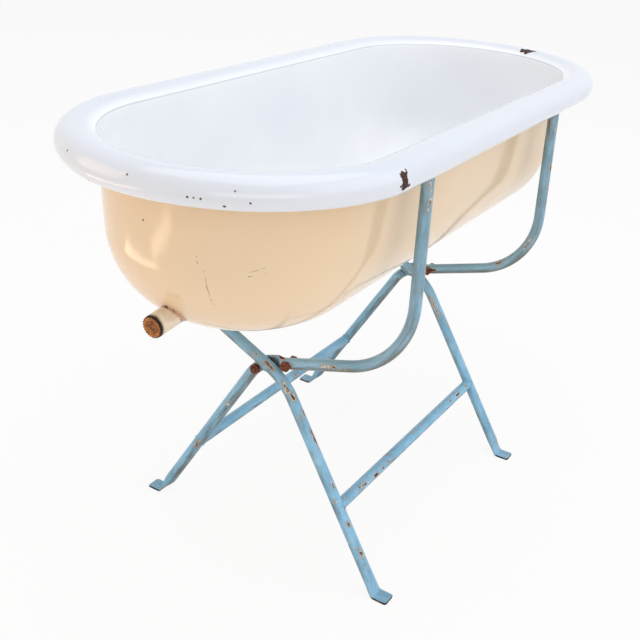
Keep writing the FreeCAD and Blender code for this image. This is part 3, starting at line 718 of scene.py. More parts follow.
def skin(depth):
    """One face of the sheet from the middle of the floor to the lip, at a depth below the white face."""
    floor_arc = arc_points(floor_centre, floor_inside + depth, -math.pi / 2, -wall_draft, 26)
    turn_arc = arc_points(inner_centre, rim_inner_radius - depth, math.pi - wall_draft, top_turn, 9)
    top_arc = arc_points(top_centre, rim_top_radius - depth, top_turn, math.pi / 2, 8)
    edge_arc = arc_points(curl_centre, rim_edge_radius - depth, math.pi / 2, -rim_curl, 26)
    middle = (0, floor_arc[0][1])
    points = [middle] + line_points(middle, floor_arc[0], 5) + floor_arc
    points += line_points(floor_arc[-1], turn_arc[0], 8) + turn_arc + top_arc[1:] + edge_arc[1:]
    return points


white_face = skin(0)
cream_face = skin(sheet)
section_points = white_face + cream_face[::-1]
section_mesh = bpy.data.meshes.new("bath_section")
section_mesh.from_pydata([(u - crest_u, -z, 0) for u, z in section_points],
                         [(n, n + 1) for n in range(len(section_points) - 1)], [])
# Distance along the section from the lip: below zero on the white face, above zero on the cream one
run = [0]
for a, b in zip(section_points, section_points[1:]):
    run.append(run[-1] + math.dist(a, b))
lip_run = (run[len(white_face) - 1] + run[len(white_face)]) / 2
from_lip = section_mesh.attributes.new("from_lip", "FLOAT", "POINT")
from_lip.data.foreach_set("value", [(r - lip_run) / MM for r in run])
section = bpy.data.objects.new("bath_section", section_mesh)
print("section:", len(section_points), "points")

# %% Tree that sweeps the section round the bath
bath_tree, given, result = node_tree("bath_sweep", [
    ("Section", "Object"), ("Crest Radius", "Float"), ("Spine Half", "Float"), ("Points", "Int"),
    ("Wave Height", "Float"), ("Wave Scale", "Float"), ("Wave Seed", "Float"),
    ("Drain Place", "Vector"), ("Drain Turn", "Vector"), ("Drain Radius", "Float"), ("Drain Depth", "Float"),
    ("Material", "Material")])
# The halves of a circle are moved apart by the sign of X. With 258 points none lies at X 0, where it is zero
circle = add(bath_tree, "GeometryNodeCurvePrimitiveCircle",
             {"Resolution": 258, "Radius": given["Crest Radius"]})
spot = add(bath_tree, "GeometryNodeInputPosition")
spot_x = add(bath_tree, "ShaderNodeSeparateXYZ", {"Vector": spot}).outputs["X"]
side = add(bath_tree, "ShaderNodeMath", {0: spot_x}, operation="SIGN")
stretch = add(bath_tree, "ShaderNodeMath", {0: side, 1: given["Spine Half"]}, operation="MULTIPLY")
shift = add(bath_tree, "ShaderNodeCombineXYZ", {"X": stretch})
oval = add(bath_tree, "GeometryNodeSetPosition", {"Geometry": circle, "Offset": shift})
even = add(bath_tree, "GeometryNodeResampleCurve", {"Curve": oval, "Count": given["Points"]})
upright = add(bath_tree, "GeometryNodeSetCurveNormal", {"Curve": even}, mode="Z_UP")
outline = add(bath_tree, "GeometryNodeObjectInfo", {"Object": given["Section"]})
profile = add(bath_tree, "GeometryNodeMeshToCurve", {"Mesh": outline.outputs["Geometry"]})
swept = add(bath_tree, "GeometryNodeCurveToMesh", {"Curve": upright, "Profile Curve": profile})
merged = add(bath_tree, "GeometryNodeMergeByDistance", {"Geometry": swept, "Distance": 0.2 * MM})
wave = add(bath_tree, "ShaderNodeTexNoise",
           {"W": given["Wave Seed"], "Scale": given["Wave Scale"], "Detail": 1.0}, **seeded)
centred = add(bath_tree, "ShaderNodeMath", {0: wave, 1: 0.5}, operation="SUBTRACT")
height = add(bath_tree, "ShaderNodeMath", {0: centred, 1: given["Wave Height"]}, operation="MULTIPLY")
wave_shift = add(bath_tree, "ShaderNodeCombineXYZ", {"X": height, "Y": height})
wavy = add(bath_tree, "GeometryNodeSetPosition", {"Geometry": merged, "Offset": wave_shift})
drill = add(bath_tree, "GeometryNodeMeshCylinder",
            {"Vertices": 48, "Radius": given["Drain Radius"], "Depth": given["Drain Depth"]})
drill_set = add(bath_tree, "GeometryNodeTransform", {"Geometry": drill,
                "Translation": given["Drain Place"], "Rotation": given["Drain Turn"]})
holed = add(bath_tree, "GeometryNodeMeshBoolean", {0: wavy, 1: drill_set}, operation="DIFFERENCE")
plain = add(bath_tree, "GeometryNodeRealizeInstances", {"Geometry": holed})
smooth = add(bath_tree, "GeometryNodeSetShadeSmooth", {"Geometry": plain})
coloured = add(bath_tree, "GeometryNodeSetMaterial", {"Geometry": smooth, "Material": given["Material"]})
feed(bath_tree, result, {0: coloured})
print("bath tree:", len(bath_tree.nodes), "nodes")

# %% Sweep the bath
spout_axis = Vector(joints["plug_turn"]["axis"])
spout_end = Vector(joints["plug_turn"]["pos_m"])
spout_turn = Vector((0, 0, 1)).rotation_difference(spout_axis).to_euler()
spout_radius = 13 * MM
spout_bore = 21 * MM
drain_reach = 100 * MM
bath_mesh = grown(bath_tree, {
    "Section": section, "Crest Radius": crest_u, "Spine Half": spine_half, "Points": 400,
    "Wave Height": 1.2 * MM, "Wave Scale": 9.0, "Wave Seed": 3.0,
    "Drain Place": spout_end - spout_axis * drain_reach / 2, "Drain Turn": spout_turn,
    "Drain Radius": spout_bore / 2, "Drain Depth": drain_reach, "Material": enamel})
place("bath_shell_enamel", bath_mesh, "bath", "white_enamel", None, "bath_shell")

# %% [markdown]
# ## Drain spout
# A short pipe is soldered to the wall and enamelled with it. Its root follows the curve of the wall, so it
# can't be a plain cylinder. A Boolean cut would do, but then the rings would be lost that carry the distance
# from the root, which the material needs for its cracks. So each line of the pipe is followed back to the
# wall instead.


# %% Lines of the pipe
longest_root = 60 * MM
spoke_count = 72


def off_wall(point):
    """Distance of a point from the outside of the wall at the drain end."""
    out = math.hypot(point.x + spine_half, point.y) - floor_u
    return math.hypot(out, point.z - floor_z) - floor_radius


def to_wall(point):
    """How far a line of the pipe runs back along the axis before it meets the wall."""
    near, far = 0.0, longest_root
    for n in range(40):
        middle = (near + far) / 2
        if off_wall(point - spout_axis * middle) > 0:
            near = middle
        else:
            far = middle
    return near


spout_side = spout_axis.orthogonal().normalized()
spout_other = spout_axis.cross(spout_side).normalized()
spoke_angles = [2 * math.pi * n / spoke_count for n in range(spoke_count)]
spokes = [spout_side * math.cos(a) + spout_other * math.sin(a) for a in spoke_angles]
edge_lines = [spout_end + spoke * spout_radius for spoke in spokes]
roots = [to_wall(point) for point in edge_lines]
print("spout: lines of", round(min(roots) / MM, 1), "to", round(max(roots) / MM, 1), "mm")

# %% Pipe and its seam
# From root to lip in shares of the line, then round the lip and back down the bore. At the lip and in the
# bore a large distance from the root is written, so that no stain shows there.
far_from_root = 30.0
steps = [-0.03, 0.0, 0.04, 0.1, 0.2, 0.35, 0.5, 0.65, 0.8, 0.9, 0.96]
rings = [[point - spout_axis * root * (1 - step) for point, root in zip(edge_lines, roots)] for step in steps]
marks = [step * sum(roots) / len(roots) / MM for step in steps]
lip_round = 1.0 * MM
for angle in (0, 30, 60, 90):
    back_off = lip_round * (1 - math.sin(math.radians(angle)))
    inward = lip_round * (1 - math.cos(math.radians(angle)))
    rings.append([spout_end + spoke * (spout_radius - inward) - spout_axis * back_off for spoke in spokes])
    marks.append(far_from_root)
for depth in (0, 4, 15):
    rings.append([spout_end + spoke * spout_bore / 2 - spout_axis * depth * MM for spoke in spokes])
    marks.append(far_from_root)
rings.append([spout_end + spoke * spout_bore / 2 - spout_axis * root for spoke, root in zip(spokes, roots)])
marks.append(0.0)
spout = surface("drain_spout_pipe", rings, looped=True, marks={"from_root": marks})

# The solder swells and thins over lumps of about 5 mm
seam_lump = 1 / 190
seam_rings = []
for spoke, point, root in zip(spokes, edge_lines, roots):
    middle = point - spout_axis * root
    swell = (1.5 + 0.8 * noise.noise(middle / seam_lump)) * MM
    seam_rings.append([middle + (spoke * math.cos(a) + spout_axis * math.sin(a)) * swell
                       for a in (2 * math.pi * n / 10 for n in range(10))])
seam = surface("seam", seam_rings, looped=True, marks={"from_root": [0.5] * len(seam_rings)})
spout_mesh = together("drain_spout_enamelled", spout, seam)
place("drain_spout_enamelled", spout_mesh, "bath", "cream_enamel", cream_enamel, "drain_spout")

# %% [markdown]
# ## Screw plug
# The plug is cast, with a fluted edge to grip and a turned stem with a thread. On the real one the thread is
# what lets the plug travel as it turns, so it is cut here with the pitch that the joint has. A Screw modifier
# could make the thread, but one function for the radius makes thread and flutes alike.

# %% Plug with flutes and thread
pitch = 2 * MM
thread_depth = 0.75 * MM
thread_root = 9 * MM
plug_back = 1.5 * MM
flutes = 24
flute_depth = 1.1 * MM
flute_root = 11.7 * MM


def plug_shape(height, radius, angle):
    """Radius of the plug at an angle: fluted round the head, threaded on the stem, plain elsewhere."""
    if radius > flute_root:
        groove = math.sin(angle * flutes / 2) ** 2
        return radius - flute_depth * groove ** 2
    if height < plug_back and radius > thread_root:
        climb = (height / pitch + angle / (2 * math.pi)) % 1.0
        return radius - thread_depth * (1 - abs(2 * climb - 1))
    return radius


# Height along the axis and radius, in mm: the stem, then the head with the rings and the knob of its face
stem = [(-14.0, 0.0), (-14.0, 6.0), (-14.0, 9.2)]
stem += [(-13.6 + 0.35 * n, 10.35) for n in range(43)] + [(1.5, 10.35)]
head = [(1.5, 12.0), (1.8, 12.6), (2.6, 12.75), (4.8, 12.75), (5.2, 12.6), (5.45, 12.1), (5.5, 11.4),
        (5.5, 8.9), (5.0, 8.5), (4.7, 8.2), (4.7, 6.9), (4.95, 6.6), (4.95, 6.0), (4.7, 5.7), (4.7, 4.4),
        (4.9, 4.1), (4.9, 3.6), (4.7, 3.3), (4.7, 2.8), (5.2, 2.5), (5.45, 2.0), (5.5, 1.2), (5.5, 0.0)]
profile = [(h * MM, r * MM) for h, r in stem + head]
plug_mesh = surface("drain_plug_iron", turned(spout_end, spout_axis, profile, flutes * 8, plug_shape),
                    marks={"radius": [r / MM for h, r in profile]})
place("drain_plug_iron", plug_mesh, "drain_plug", "rusted_iron", rusted_iron, "drain_plug")

# %% [markdown]
# ## Stand tubes
# Each tube of the stand is foot, leg, arm and post in one piece, bent cold and pressed flat at the foot. The
# left ones are also pressed flat where the right ones cross them. A bevelled curve would give the round runs
# but not the flattened ones. So a small walker follows the bends, and at each step a slot-shaped ring is
# drawn that is a circle on the round runs and a flat strap on the pressed ones.

# %% Sizes of the tubes
left_low, left_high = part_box("left_tube_drain_end")
bar_low, bar_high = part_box("left_cross_bar")
tube_radius = (bar_high.z - bar_low.z) / 2
strap = 3 * MM
pivot_z = joints["left_frame_fold"]["pos_m"][2]
post_y = -left_low.y - tube_radius
post_top = left_high.z
foot_end_y = left_high.y
elbow_radius = 110 * MM
foot_width = 22 * MM
foot_length = 17 * MM
foot_flare = 24 * MM
foot_bend_radius = 6 * MM
foot_corner_radius = 3 * MM
flat_height = 22.2 * MM
flat_reach = 10 * MM
flat_flare = 7 * MM
print("tube:", round(2 * tube_radius / MM, 1), "mm across, pivots", round(pivot_z / MM, 1), "mm up")


# %% Way of the tubes
class Path:
    """The way of one frame's tubes in y and z: lengths and turns from the foot to the top of the post."""

    def __init__(self, rise_deg, bend_radius):
        self.rise = math.radians(rise_deg)
        self.bend_radius = bend_radius * MM
        self.bend_y = -self.bend_radius * math.sin(self.rise)
        self.bend_z = pivot_z - self.bend_radius * math.cos(self.rise)
        shallow, steep = math.radians(45), math.radians(75)
        for n in range(40):
            self.slope = (shallow + steep) / 2
            if self.miss() > 0:
                shallow = self.slope
            else:
                steep = self.slope
        reach = elbow_radius * math.tan((math.pi / 2 - self.rise) / 2)
        self.arm = post_y / math.cos(self.rise) - reach
        self.post = post_top - (pivot_z + post_y * math.tan(self.rise) + reach)

    def miss(self):
        """How far the foot of the present slope ends beyond the real one."""
        top_y = self.bend_y + self.bend_radius * math.sin(self.slope)
        top_z = self.bend_z + self.bend_radius * math.cos(self.slope)
        reach = foot_bend_radius * math.tan(self.slope / 2)
        full = (top_z - strap / 2) / math.sin(self.slope)
        self.leg = full - reach
        return top_y + full * math.cos(self.slope) + reach + foot_length - foot_end_y

    def walk(self):
        """Steps from foot to post as length gone, y, z and heading, and where each run ends."""
        y, z, heading, gone = foot_end_y, strap / 2, 0.0, 0.0
        steps, ends = [(gone, y, z, heading)], []
        flatter, upright = self.slope - self.rise, math.pi / 2 - self.rise
        # Each run is its length, its turn and the spacing of its steps in mm
        runs = [(foot_length, 0, 1.0), (foot_bend_radius * self.slope, self.slope, 0.6), (self.leg, 0, 2.5),
                (self.bend_radius * flatter, -flatter, 1.5), (self.arm, 0, 2.0),
                (elbow_radius * upright, upright, 2.5), (self.post, 0, 4.0)]
        for length, bend, spacing in runs:
            count = max(1, round(length / (spacing * MM)))
            chord = length / count
            if bend:
                chord *= math.sin(abs(bend) / count / 2) / (abs(bend) / count / 2)
            for n in range(count):
                middle = heading + bend / count / 2
                y -= chord * math.cos(middle)
                z += chord * math.sin(middle)
                heading += bend / count
                gone += length / count
                steps.append((gone, y, z, heading))
            ends.append(gone)
        return steps, ends


paths = {"left": Path(16.5, 60), "right": Path(25, 90)}
for family, path in paths.items():
    print(family, "leg:", round(math.degrees(path.slope), 2), "degrees and", round(path.leg / MM, 1), "mm")


# %% Rings of the tubes
def smooth_step(x):
    """0 up to 0 and 1 from 1 on, with a soft way between."""
    x = min(max(x, 0.0), 1.0)
    return x * x * (3 - 2 * x)


def blend(a, b, share):
    """A value between two others."""
    return a + (b - a) * share


def slot_ring(centre, wide, tall, half_wide, half_tall, count):
    """Ring of points round a slot: two half circles joined by straight sides."""
    r = min(half_wide, half_tall)
    ring = []
    for n in range(count):
        c = math.cos(2 * math.pi * (n + 0.5) / count)
        s = math.sin(2 * math.pi * (n + 0.5) / count)
        across = r * c + math.copysign(half_wide - r, c)
        along = r * s + math.copysign(half_tall - r, s)
        ring.append(centre + wide * across + tall * along)
    return ring


def wear_at(chips, along, angle, radius):
    """Wear of the paint: 10 at the edge of the nearest chip, more inside it, and 0 from 10 mm away on."""
    most = 0.0
    for chip_along, chip_angle, length, width in chips:
        down = max(abs(along - chip_along) - length / 2, 0)
        aside = radius * math.radians(abs((angle - chip_angle + 180) % 360 - 180))
        most = max(most, 10 + width / 2 - math.hypot(down, aside))
    return most


brush_stretch = 6
ring_count = 36
ring_angles = [360 * (n + 0.5) / ring_count for n in range(ring_count)]


def painted_ring(chips, along, centre, ring):
    """Marks of one ring of a painted tube: the wear, and a place in which brush strokes are short."""
    wear = [wear_at(chips, along / MM, angle, tube_radius / MM) for angle in ring_angles]
    offs = [point - centre for point in ring]
    return wear, [Vector((along / brush_stretch, off.x, off.y + off.z)) for off in offs]


def tube_mesh(name, x, hand, path, flattened, chips):
    """One bent tube with its foot on +Y (hand 1) or -Y (hand -1)."""
    steps, ends = path.walk()
    rings, wears, places = [], [], []
    for gone, y, z, heading in steps:
        round_share = smooth_step((gone - ends[1]) / foot_flare)
        wide = blend(foot_width / 2, tube_radius, round_share)
        tall = blend(strap / 2, tube_radius, round_share)
        corner = foot_corner_radius - gone
        if corner > 0:
            wide -= foot_corner_radius - math.sqrt(foot_corner_radius ** 2 - corner ** 2)
        if flattened:
            flat_share = 1 - smooth_step((abs(gone - ends[3]) - flat_reach) / flat_flare)
            wide = blend(wide, strap / 2, flat_share)
            tall = blend(tall, flat_height / 2, flat_share)
        normal = Vector((0, hand * math.sin(heading), math.cos(heading)))
        centre = Vector((x, hand * y, z))
        rings.append(slot_ring(centre, Vector((1, 0, 0)), normal, wide, tall, ring_count))
        wear, brush_place = painted_ring(chips, gone, centre, rings[-1])
        wears.append(wear)
        places.append(brush_place)
    return surface(name, rings, marks={"wear": wears, "brush_place": places})


print("a tube has rings of", ring_count, "points")


# %% Chips and tubes
# A chip is its place along the tube from the foot in mm, its angle round the tube in degrees, and its length
# and width in mm
tube_chips = {
    "right_tube_drain_end": [
        (361, 220, 12, 2.5), (363, 140, 2, 2.0), (345, 130, 5, 4.0), (338, 135, 6, 3.0),
        (345, 220, 6, 2.5), (313, 125, 2, 2.0), (306, 140, 9, 2.0), (302, 160, 3, 2.0),
        (293, 125, 5, 3.5), (268, 85, 10, 2.5), (266, 165, 5, 1.5), (232, 85, 27, 2.5),
        (170, 105, 6, 2.0), (150, 140, 1, 2.0), (137, 85, 3, 2.5), (117, 110, 2, 2.5), (84, 145, 1, 2.0),
        (77, 120, 1, 3.0), (75, 105, 6, 2.5), (94, 210, 5, 2.0), (46, 220, 10, 2.5), (27, 180, 3, 2.5)],
    "left_tube_drain_end": [
        (140, 195, 10, 3.0), (149, 195, 1, 2.0), (281, 115, 1, 2.0), (239, 195, 8, 2.0),
        (35, 235, 1, 3.0), (22, 255, 1, 3.0), (353, 90, 16, 7.0), (369, 180, 9, 4.0), (370, 235, 6, 2.5),
        (384, 230, 12, 2.5), (428, 170, 11, 2.0), (441, 175, 3, 3.0), (453, 195, 11, 2.0),
        (742, 240, 2, 1.5), (741, 285, 2, 1.5), (737, 275, 2, 1.5), (729, 240, 5, 2.5),
        (724, 280, 2, 1.5), (721, 230, 7, 2.0), (748, 220, 5, 1.5)],
    "right_tube_head_end": [
        (256, 65, 8, 2.5), (243, 70, 12, 2.5), (172, 65, 8, 2.0), (116, 70, 5, 2.0), (42, 65, 10, 2.5),
        (274, 165, 29, 2.0)],
    "left_tube_head_end": [
        (676, 250, 11, 2.0), (645, 260, 8, 2.0), (734, 235, 3, 2.0), (742, 170, 10, 2.0),
        (502, 130, 1, 2.5), (493, 145, 8, 2.5), (372, 170, 3, 5.0), (380, 175, 6, 3.0),
        (554, 180, 19, 2.0)]}
for end in ("drain_end", "head_end"):
    for family, hand, flattened in (("left", 1, True), ("right", -1, False)):
        node = family + "_tube_" + end
        low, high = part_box(node)
        middle_x = (low.x + high.x) / 2
        mesh = tube_mesh(node + "_painted", middle_x, hand, paths[family], flattened, tube_chips[node])
        place(node + "_painted", mesh, family + "_foot_frame", "blue_paint", blue_paint, node)
        reach = [max(v.co[n] for v in mesh.vertices) for n in range(3)]
        print("   off the solid by", [round((reach[n] - high[n]) / MM, 2) for n in range(3)], "mm")

# %% [markdown]
# ## Cross bars
# A straight tube joins the two legs of each frame, brazed on and painted over. The bar is a cylinder that
# ends inside the legs, with a slim fillet of braze where the two tubes meet. A Boolean and a bevel could make
# that fillet, but two equal tubes at a right angle meet along two half ellipses, so its line can be written
# down.

# %% Bars and their fillets
# The chips of a bar are placed along X from the middle of the bath. The braze swells and thins over lumps of
# about 11 mm.
bar_chips = {
    "right_cross_bar": [
        (-160, 135, 2, 2.5), (-153, 145, 2, 2.0), (-147, 150, 4, 3.5), (-138, 150, 2, 2.0),
        (-133, 200, 2, 2.0), (-119, 160, 6, 4.0), (-99, 155, 2, 2.5), (-84, 140, 2, 2.5),
        (-72, 125, 1, 1.5), (-73, 75, 2, 1.5), (0, 105, 2, 1.5), (142, 135, 8, 4.0), (116, 125, 2, 2.5),
        (174, 135, 2, 3.0), (26, 105, 2, 1.5), (-193, 115, 2, 1.5)],
    "left_cross_bar": [
        (-149, 75, 2, 2.5), (38, 145, 5, 2.5)]}
bar_steps = 160
fillet_steps = 64
bead_lump = 1 / 90
for family, hand in (("left", 1), ("right", -1)):
    node = family + "_cross_bar"
    low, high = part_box(node)
    axis_y, axis_z = (low.y + high.y) / 2, (low.z + high.z) / 2
    ends = [sum(c.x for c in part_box(family + "_tube_" + end)) / 2 for end in ("drain_end", "head_end")]
    rings, wears, places = [], [], []
    for n in range(bar_steps + 1):
        centre = Vector((blend(ends[0], ends[1], n / bar_steps), axis_y, axis_z))
        wide, tall = Vector((0, 1, 0)), Vector((0, 0, 1))
        rings.append(slot_ring(centre, wide, tall, tube_radius, tube_radius, ring_count))
        wear, brush_place = painted_ring(bar_chips[node], centre.x, centre, rings[-1])
        wears.append(wear)
        places.append(brush_place)
    meshes = [surface(node, rings, marks={"wear": wears, "brush_place": places})]
    slope = paths[family].slope
    across = Vector((0, hand * math.sin(slope), math.cos(slope)))
    along = Vector((0, -hand * math.cos(slope), math.sin(slope)))
    for x, way in ((ends[0], 1), (ends[1], -1)):
        rings = []
        for n in range(fillet_steps):
            angle = 2 * math.pi * (n + 0.5) / fillet_steps
            spoke = across * math.cos(angle) + along * math.sin(angle)
            inward = Vector((way, 0, 0))
            middle = Vector((x, axis_y, axis_z)) + inward * tube_radius * abs(math.sin(angle))
            corner = middle + spoke * tube_radius
            bead = 1.5 * MM * (0.85 + 0.3 * noise.noise(corner / bead_lump))
            rings.append([corner + (spoke * math.cos(a) + inward * math.sin(a)) * bead
                          for a in (2 * math.pi * m / 10 for m in range(10))])
        meshes.append(surface("fillet", rings, looped=True))
    bar_mesh = together(node + "_painted", *meshes)
    place(node + "_painted", bar_mesh, family + "_foot_frame", "blue_paint", blue_paint, node)

# %% [markdown]
# ## Rivets and stop bolts
# Small hardware repeats: two rivets and four stop bolts, all alike. Copies could be made one by one, but then
# a change has to be made on each. So one of each is modelled, and a Geometry Nodes tree sets it at its
# places. The bolts are given a seeded turn, as nobody lines up the flats of nuts by hand.

# %% One rivet
right_xs = [sum(c.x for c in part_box("right_tube_" + end)) / 2 for end in ("drain_end", "head_end")]
left_xs = [sum(c.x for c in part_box("left_tube_" + end)) / 2 for end in ("drain_end", "head_end")]
rivet_low, rivet_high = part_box("pivot_rivet_drain_end")
head_x = right_xs[0] - tube_radius - rivet_low.x
tail_x = rivet_high.x - rivet_low.x
rivet_head = 4.5 * MM
rivet_shank = 3 * MM
dome_angles = [math.pi / 2 * n / 8 for n in range(9)]
rivet_profile = [(head_x * (1 - math.cos(a)), rivet_head * math.sin(a)) for a in dome_angles]
rivet_profile += [(head_x + 0.05 * MM, rivet_shank), (tail_x - 2.5 * MM, rivet_shank)]
rivet_profile += [(tail_x - back * MM, r * MM)
                  for back, r in ((2.5, 4.8), (1.6, 5.0), (0.5, 4.2), (0.0, 2.4), (0.0, 0.0))]
rivet_mesh = surface("rivet", turned(Vector((0, 0, 0)), Vector((1, 0, 0)), rivet_profile, 32))
rivet = bpy.data.objects.new("rivet", rivet_mesh)
print("rivet:", round(tail_x / MM, 1), "mm long,", len(rivet_mesh.polygons), "faces")

# %% Tree that sets the two rivets
rivet_tree, given, result = node_tree("rivet_pair", [
    ("Rivet", "Object"), ("Count", "Int"), ("First Place", "Vector"), ("Step", "Vector"),
    ("Material", "Material")])
row = add(rivet_tree, "GeometryNodeMeshLine",
          {"Count": given["Count"], "Start Location": given["First Place"], "Offset": given["Step"]})
one = add(rivet_tree, "GeometryNodeObjectInfo", {"Object": given["Rivet"]})
spread = add(rivet_tree, "GeometryNodeInstanceOnPoints",
             {"Points": row, "Instance": one.outputs["Geometry"]})
plain = add(rivet_tree, "GeometryNodeRealizeInstances", {"Geometry": spread})
coloured = add(rivet_tree, "GeometryNodeSetMaterial", {"Geometry": plain, "Material": given["Material"]})
feed(rivet_tree, result, {0: coloured})
rivets_mesh = grown(rivet_tree, {
    "Rivet": rivet, "Count": 2, "First Place": Vector((rivet_low.x, 0, pivot_z)),
    "Step": Vector((right_xs[1] - right_xs[0], 0, 0)), "Material": blue_paint})
place("pivot_rivets_painted", rivets_mesh, "pivot_pins", "blue_paint", None,
      "pivot_rivet_drain_end", "pivot_rivet_head_end")

# %% One stop bolt with its nut
bolt_radius = 3.2 * MM
flats = 12 * MM
seat = tube_radius + 0.02 * MM
nut_height = 5.6 * MM
bolt_end = 4 * MM
bolt_head = 4.4 * MM
bolt_pitch = 1.27 * MM
bolt_thread_depth = 0.5 * MM
corner_radius = flats / 2 / math.cos(math.pi / 6)
outward = Vector((-1, 0, 0))


def hexagon(height, radius, angle):
    """Radius of a hexagon, cut back by a cone at its corners when the step asks for less."""
    turn = (angle + math.pi / 6) % (math.pi / 3) - math.pi / 6
    return min(flats / 2 / math.cos(turn), radius)


def thread(height, radius, angle):
    """Radius of the threaded end, plain where the step is narrower than the bolt."""
    if radius < bolt_radius:
        return radius
    climb = (height / bolt_pitch + angle / (2 * math.pi)) % 1.0
    return radius - bolt_thread_depth * (1 - abs(2 * climb - 1))


nut_top = seat + nut_height
nut_profile = [(seat, 0), (seat, 5.9 * MM), (seat + 0.5 * MM, corner_radius),
               (nut_top - 0.6 * MM, corner_radius), (nut_top, 5.8 * MM), (nut_top, 3.6 * MM),
               (nut_top - 0.3 * MM, 3.1 * MM)]
end_start = nut_top - 0.4 * MM
end_profile = [(end_start, 0)] + [(end_start + bolt_end * n / 16, bolt_radius) for n in range(17)]
end_profile += [(nut_top + bolt_end - 0.1 * MM, 2.5 * MM), (nut_top + bolt_end, 0)]
head_top = -seat - bolt_head
head_profile = [(-seat, 0), (-seat, 5.9 * MM), (-seat - 0.4 * MM, corner_radius),
                (head_top + 0.8 * MM, corner_radius), (head_top + 0.2 * MM, 5.6 * MM),
                (head_top, 4.2 * MM), (head_top, 0)]
shank_profile = [(-seat, 0), (-seat, bolt_radius), (seat, bolt_radius), (seat, 0)]
origin = Vector((0, 0, 0))
fastener_mesh = together("stop_fastener",
                         surface("nut", turned(origin, outward, nut_profile, 48, hexagon)),
                         surface("end", turned(origin, outward, end_profile, 32, thread)),
                         surface("head", turned(origin, outward, head_profile, 48, hexagon)),
                         surface("shank", turned(origin, outward, shank_profile, 24)))
fastener = bpy.data.objects.new("stop_fastener", fastener_mesh)
print("stop bolt with nut:", len(fastener_mesh.polygons), "faces")

# %% Places of the stop bolts
places = []
for end, x in zip(("drain_end", "head_end"), left_xs):
    low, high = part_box("stop_nuts_" + end)
    places += [(x, low.y + corner_radius, high.z - flats / 2), (x, high.y - corner_radius, low.z + flats / 2)]
places_mesh = bpy.data.meshes.new("stop_places")
places_mesh.from_pydata(places, [], [])
stop_places = bpy.data.objects.new("stop_places", places_mesh)
print("stop bolts at", [[round(c / MM, 1) for c in p] for p in places])

# %% Tree that sets the four stop bolts
bolt_tree, given, result = node_tree("stop_bolts", [
    ("Places", "Object"), ("Fastener", "Object"), ("Most Turn", "Float"), ("Seed", "Int"),
    ("Material", "Material")])
spots = add(bolt_tree, "GeometryNodeObjectInfo", {"Object": given["Places"]})
one = add(bolt_tree, "GeometryNodeObjectInfo", {"Object": given["Fastener"]})
chance = add(bolt_tree, "FunctionNodeRandomValue",
             {2: 0.0, 3: given["Most Turn"], "Seed": given["Seed"]}, data_type="FLOAT")
about_x = add(bolt_tree, "ShaderNodeCombineXYZ", {"X": chance})
twist = add(bolt_tree, "FunctionNodeEulerToRotation", {0: about_x})
spread = add(bolt_tree, "GeometryNodeInstanceOnPoints", {
    "Points": spots.outputs["Geometry"], "Instance": one.outputs["Geometry"], "Rotation": twist})
plain = add(bolt_tree, "GeometryNodeRealizeInstances", {"Geometry": spread})
coloured = add(bolt_tree, "GeometryNodeSetMaterial", {"Geometry": plain, "Material": given["Material"]})
feed(bolt_tree, result, {0: coloured})
bolts_mesh = grown(bolt_tree, {
    "Places": stop_places, "Fastener": fastener, "Most Turn": math.pi / 3, "Seed": 4,
    "Material": rusted_steel})
place("stop_bolts_and_nuts", bolts_mesh, "left_foot_frame", "rusted_steel", None,
      "stop_bolts_drain_end", "stop_nuts_drain_end", "stop_bolts_head_end", "stop_nuts_head_end")

# %% [markdown]
# ## Floor and light
# A plain studio: a pale floor, a soft sky all round, a broad panel overhead, a warm one on the left, a low
# one before the drain end and a cool one on the right. Small lamps would do, but glossy enamel mirrors them
# as hard spots, so all are panels. Two strips at the floor give the left wall something bright to mirror. To
# the camera and in reflections the sky and the floor are white, but the floor keeps a trace of the shadow
# that makes the feet stand.


# %% Lamps and rays
def soft_panel(name, wide, tall, energy, colour, location, target, turn=0):
    """A lamp with an even face. It lights and reflects, but the camera doesn't see it."""
    light = bpy.data.lights.new(name, "AREA")
    light.shape = "RECTANGLE"
    light.size = wide
    light.size_y = tall
    light.energy = energy
    light.color = linear(colour)[:3]
    panel = bpy.data.objects.new(name, light)
    aim = (Vector(target) - Vector(location)).to_track_quat("-Z", "Y")
    spin = Matrix.Rotation(math.radians(turn), 4, "Z")
    panel.matrix_world = Matrix.LocRotScale(Vector(location), aim, None) @ spin
    panel.visible_camera = False
    bpy.context.scene.collection.objects.link(panel)


def seen_share(tree, share):
    """The share for rays of the camera and for those off gloss or through glass, none for the rest."""
    path = add(tree, "ShaderNodeLightPath").outputs
    seen = add(tree, "ShaderNodeMath", {0: path["Is Camera Ray"], 1: path["Is Glossy Ray"]},
               operation="MAXIMUM")
    seen = add(tree, "ShaderNodeMath", {0: seen, 1: path["Is Transmission Ray"]}, operation="MAXIMUM")
    return add(tree, "ShaderNodeMath", {0: seen, 1: share}, operation="MULTIPLY")


print("lamps are set by", soft_panel.__name__)

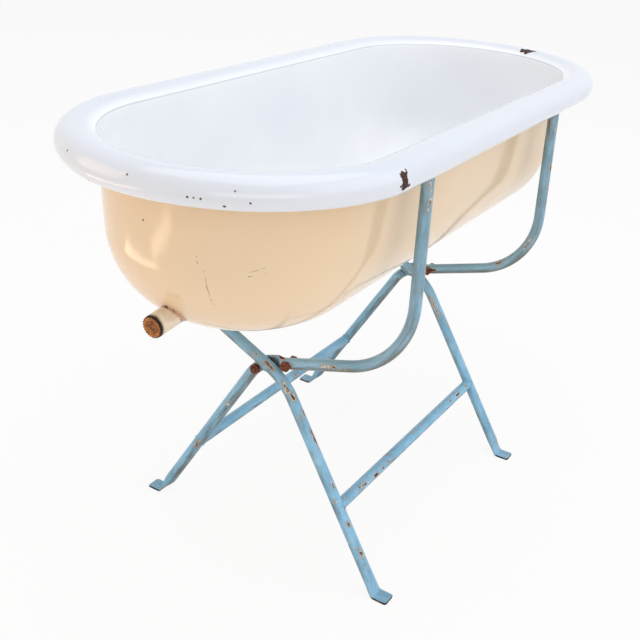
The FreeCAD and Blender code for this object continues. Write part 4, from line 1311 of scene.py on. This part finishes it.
# %% Floor
# Matt white paint on board: no gloss, and hardly any pattern
floor_half = 8
corners = [(-floor_half, -floor_half, 0), (floor_half, -floor_half, 0),
           (floor_half, floor_half, 0), (-floor_half, floor_half, 0)]
floor_mesh = bpy.data.meshes.new("floor")
floor_mesh.from_pydata(corners, [], [(0, 1, 2, 3)])
floor = bpy.data.objects.new("floor", floor_mesh)
bpy.context.scene.collection.objects.link(floor)
floor_paint, tree, shader, where = begin("pale_floor", 0.9, 1.4)
cloud_noise = add(tree, "ShaderNodeTexNoise", {"Vector": where, "Scale": grain_scale(400)}, **seeded)
clouds = add(tree, "ShaderNodeMapRange", {0: cloud_noise, 1: 0.4, 2: 0.6}, **soft)
coat = add(tree, "ShaderNodeMix", {0: clouds, 6: "#F7F6F3", 7: "#F4F2F0"}, **colour)
feed(tree, shader, {"Base Color": coat})
glow = add(tree, "ShaderNodeEmission", {"Color": "#FFFFFF", "Strength": 1.0})
both = add(tree, "ShaderNodeMixShader", {0: seen_share(tree, 0.9), 1: shader, 2: glow})
feed(tree, tree.nodes["Material Output"], {"Surface": both})
floor_mesh.materials.append(floor_paint)
print("floor:", 2 * floor_half, "m wide")

# %% Sky and lamps
world = bpy.data.worlds.new("soft_sky")
world.use_nodes = True
tree = world.node_tree
sky = tree.nodes["Background"]
feed(tree, sky, {"Color": "#F4F6F9", "Strength": 0.5})
seen = add(tree, "ShaderNodeBackground", {"Color": "#FFFFFF", "Strength": 1.0})
both = add(tree, "ShaderNodeMixShader", {0: seen_share(tree, 1.0), 1: sky, 2: seen})
feed(tree, tree.nodes["World Output"], {"Surface": both})
bpy.context.scene.world = world
bpy.context.scene.view_settings.view_transform = "Standard"
soft_panel("sky_panel", 3.0, 3.0, 44, "#FAFBFF", (0, 0, 3.0), (0, 0, 0.5))
soft_panel("warm_panel", 1.5, 1.5, 14, "#FFDFBC", (-1.7, 1.9, 0.85), (-0.3, 0, 0.5))
soft_panel("front_panel", 2.4, 0.8, 13, "#FFF2E2", (-2.1, -1.7, 0.5), (0, 0, 0.45))
soft_panel("right_panel", 3.4, 2.4, 24, "#F3F7FF", (0.5, -2.4, 1.6), (0, 0, 0.45))
soft_panel("near_floor_strip", 0.14, 0.6, 1.0, "#FFE2C0", (-0.78, 0.70, 0.02), (-0.78, 0.70, 1), 34)
soft_panel("far_floor_strip", 0.12, 0.34, 0.5, "#FFE2C0", (-1.17, 0.51, 0.02), (-1.17, 0.51, 1), 55)
print("lamps:", [light.name for light in bpy.data.lights])
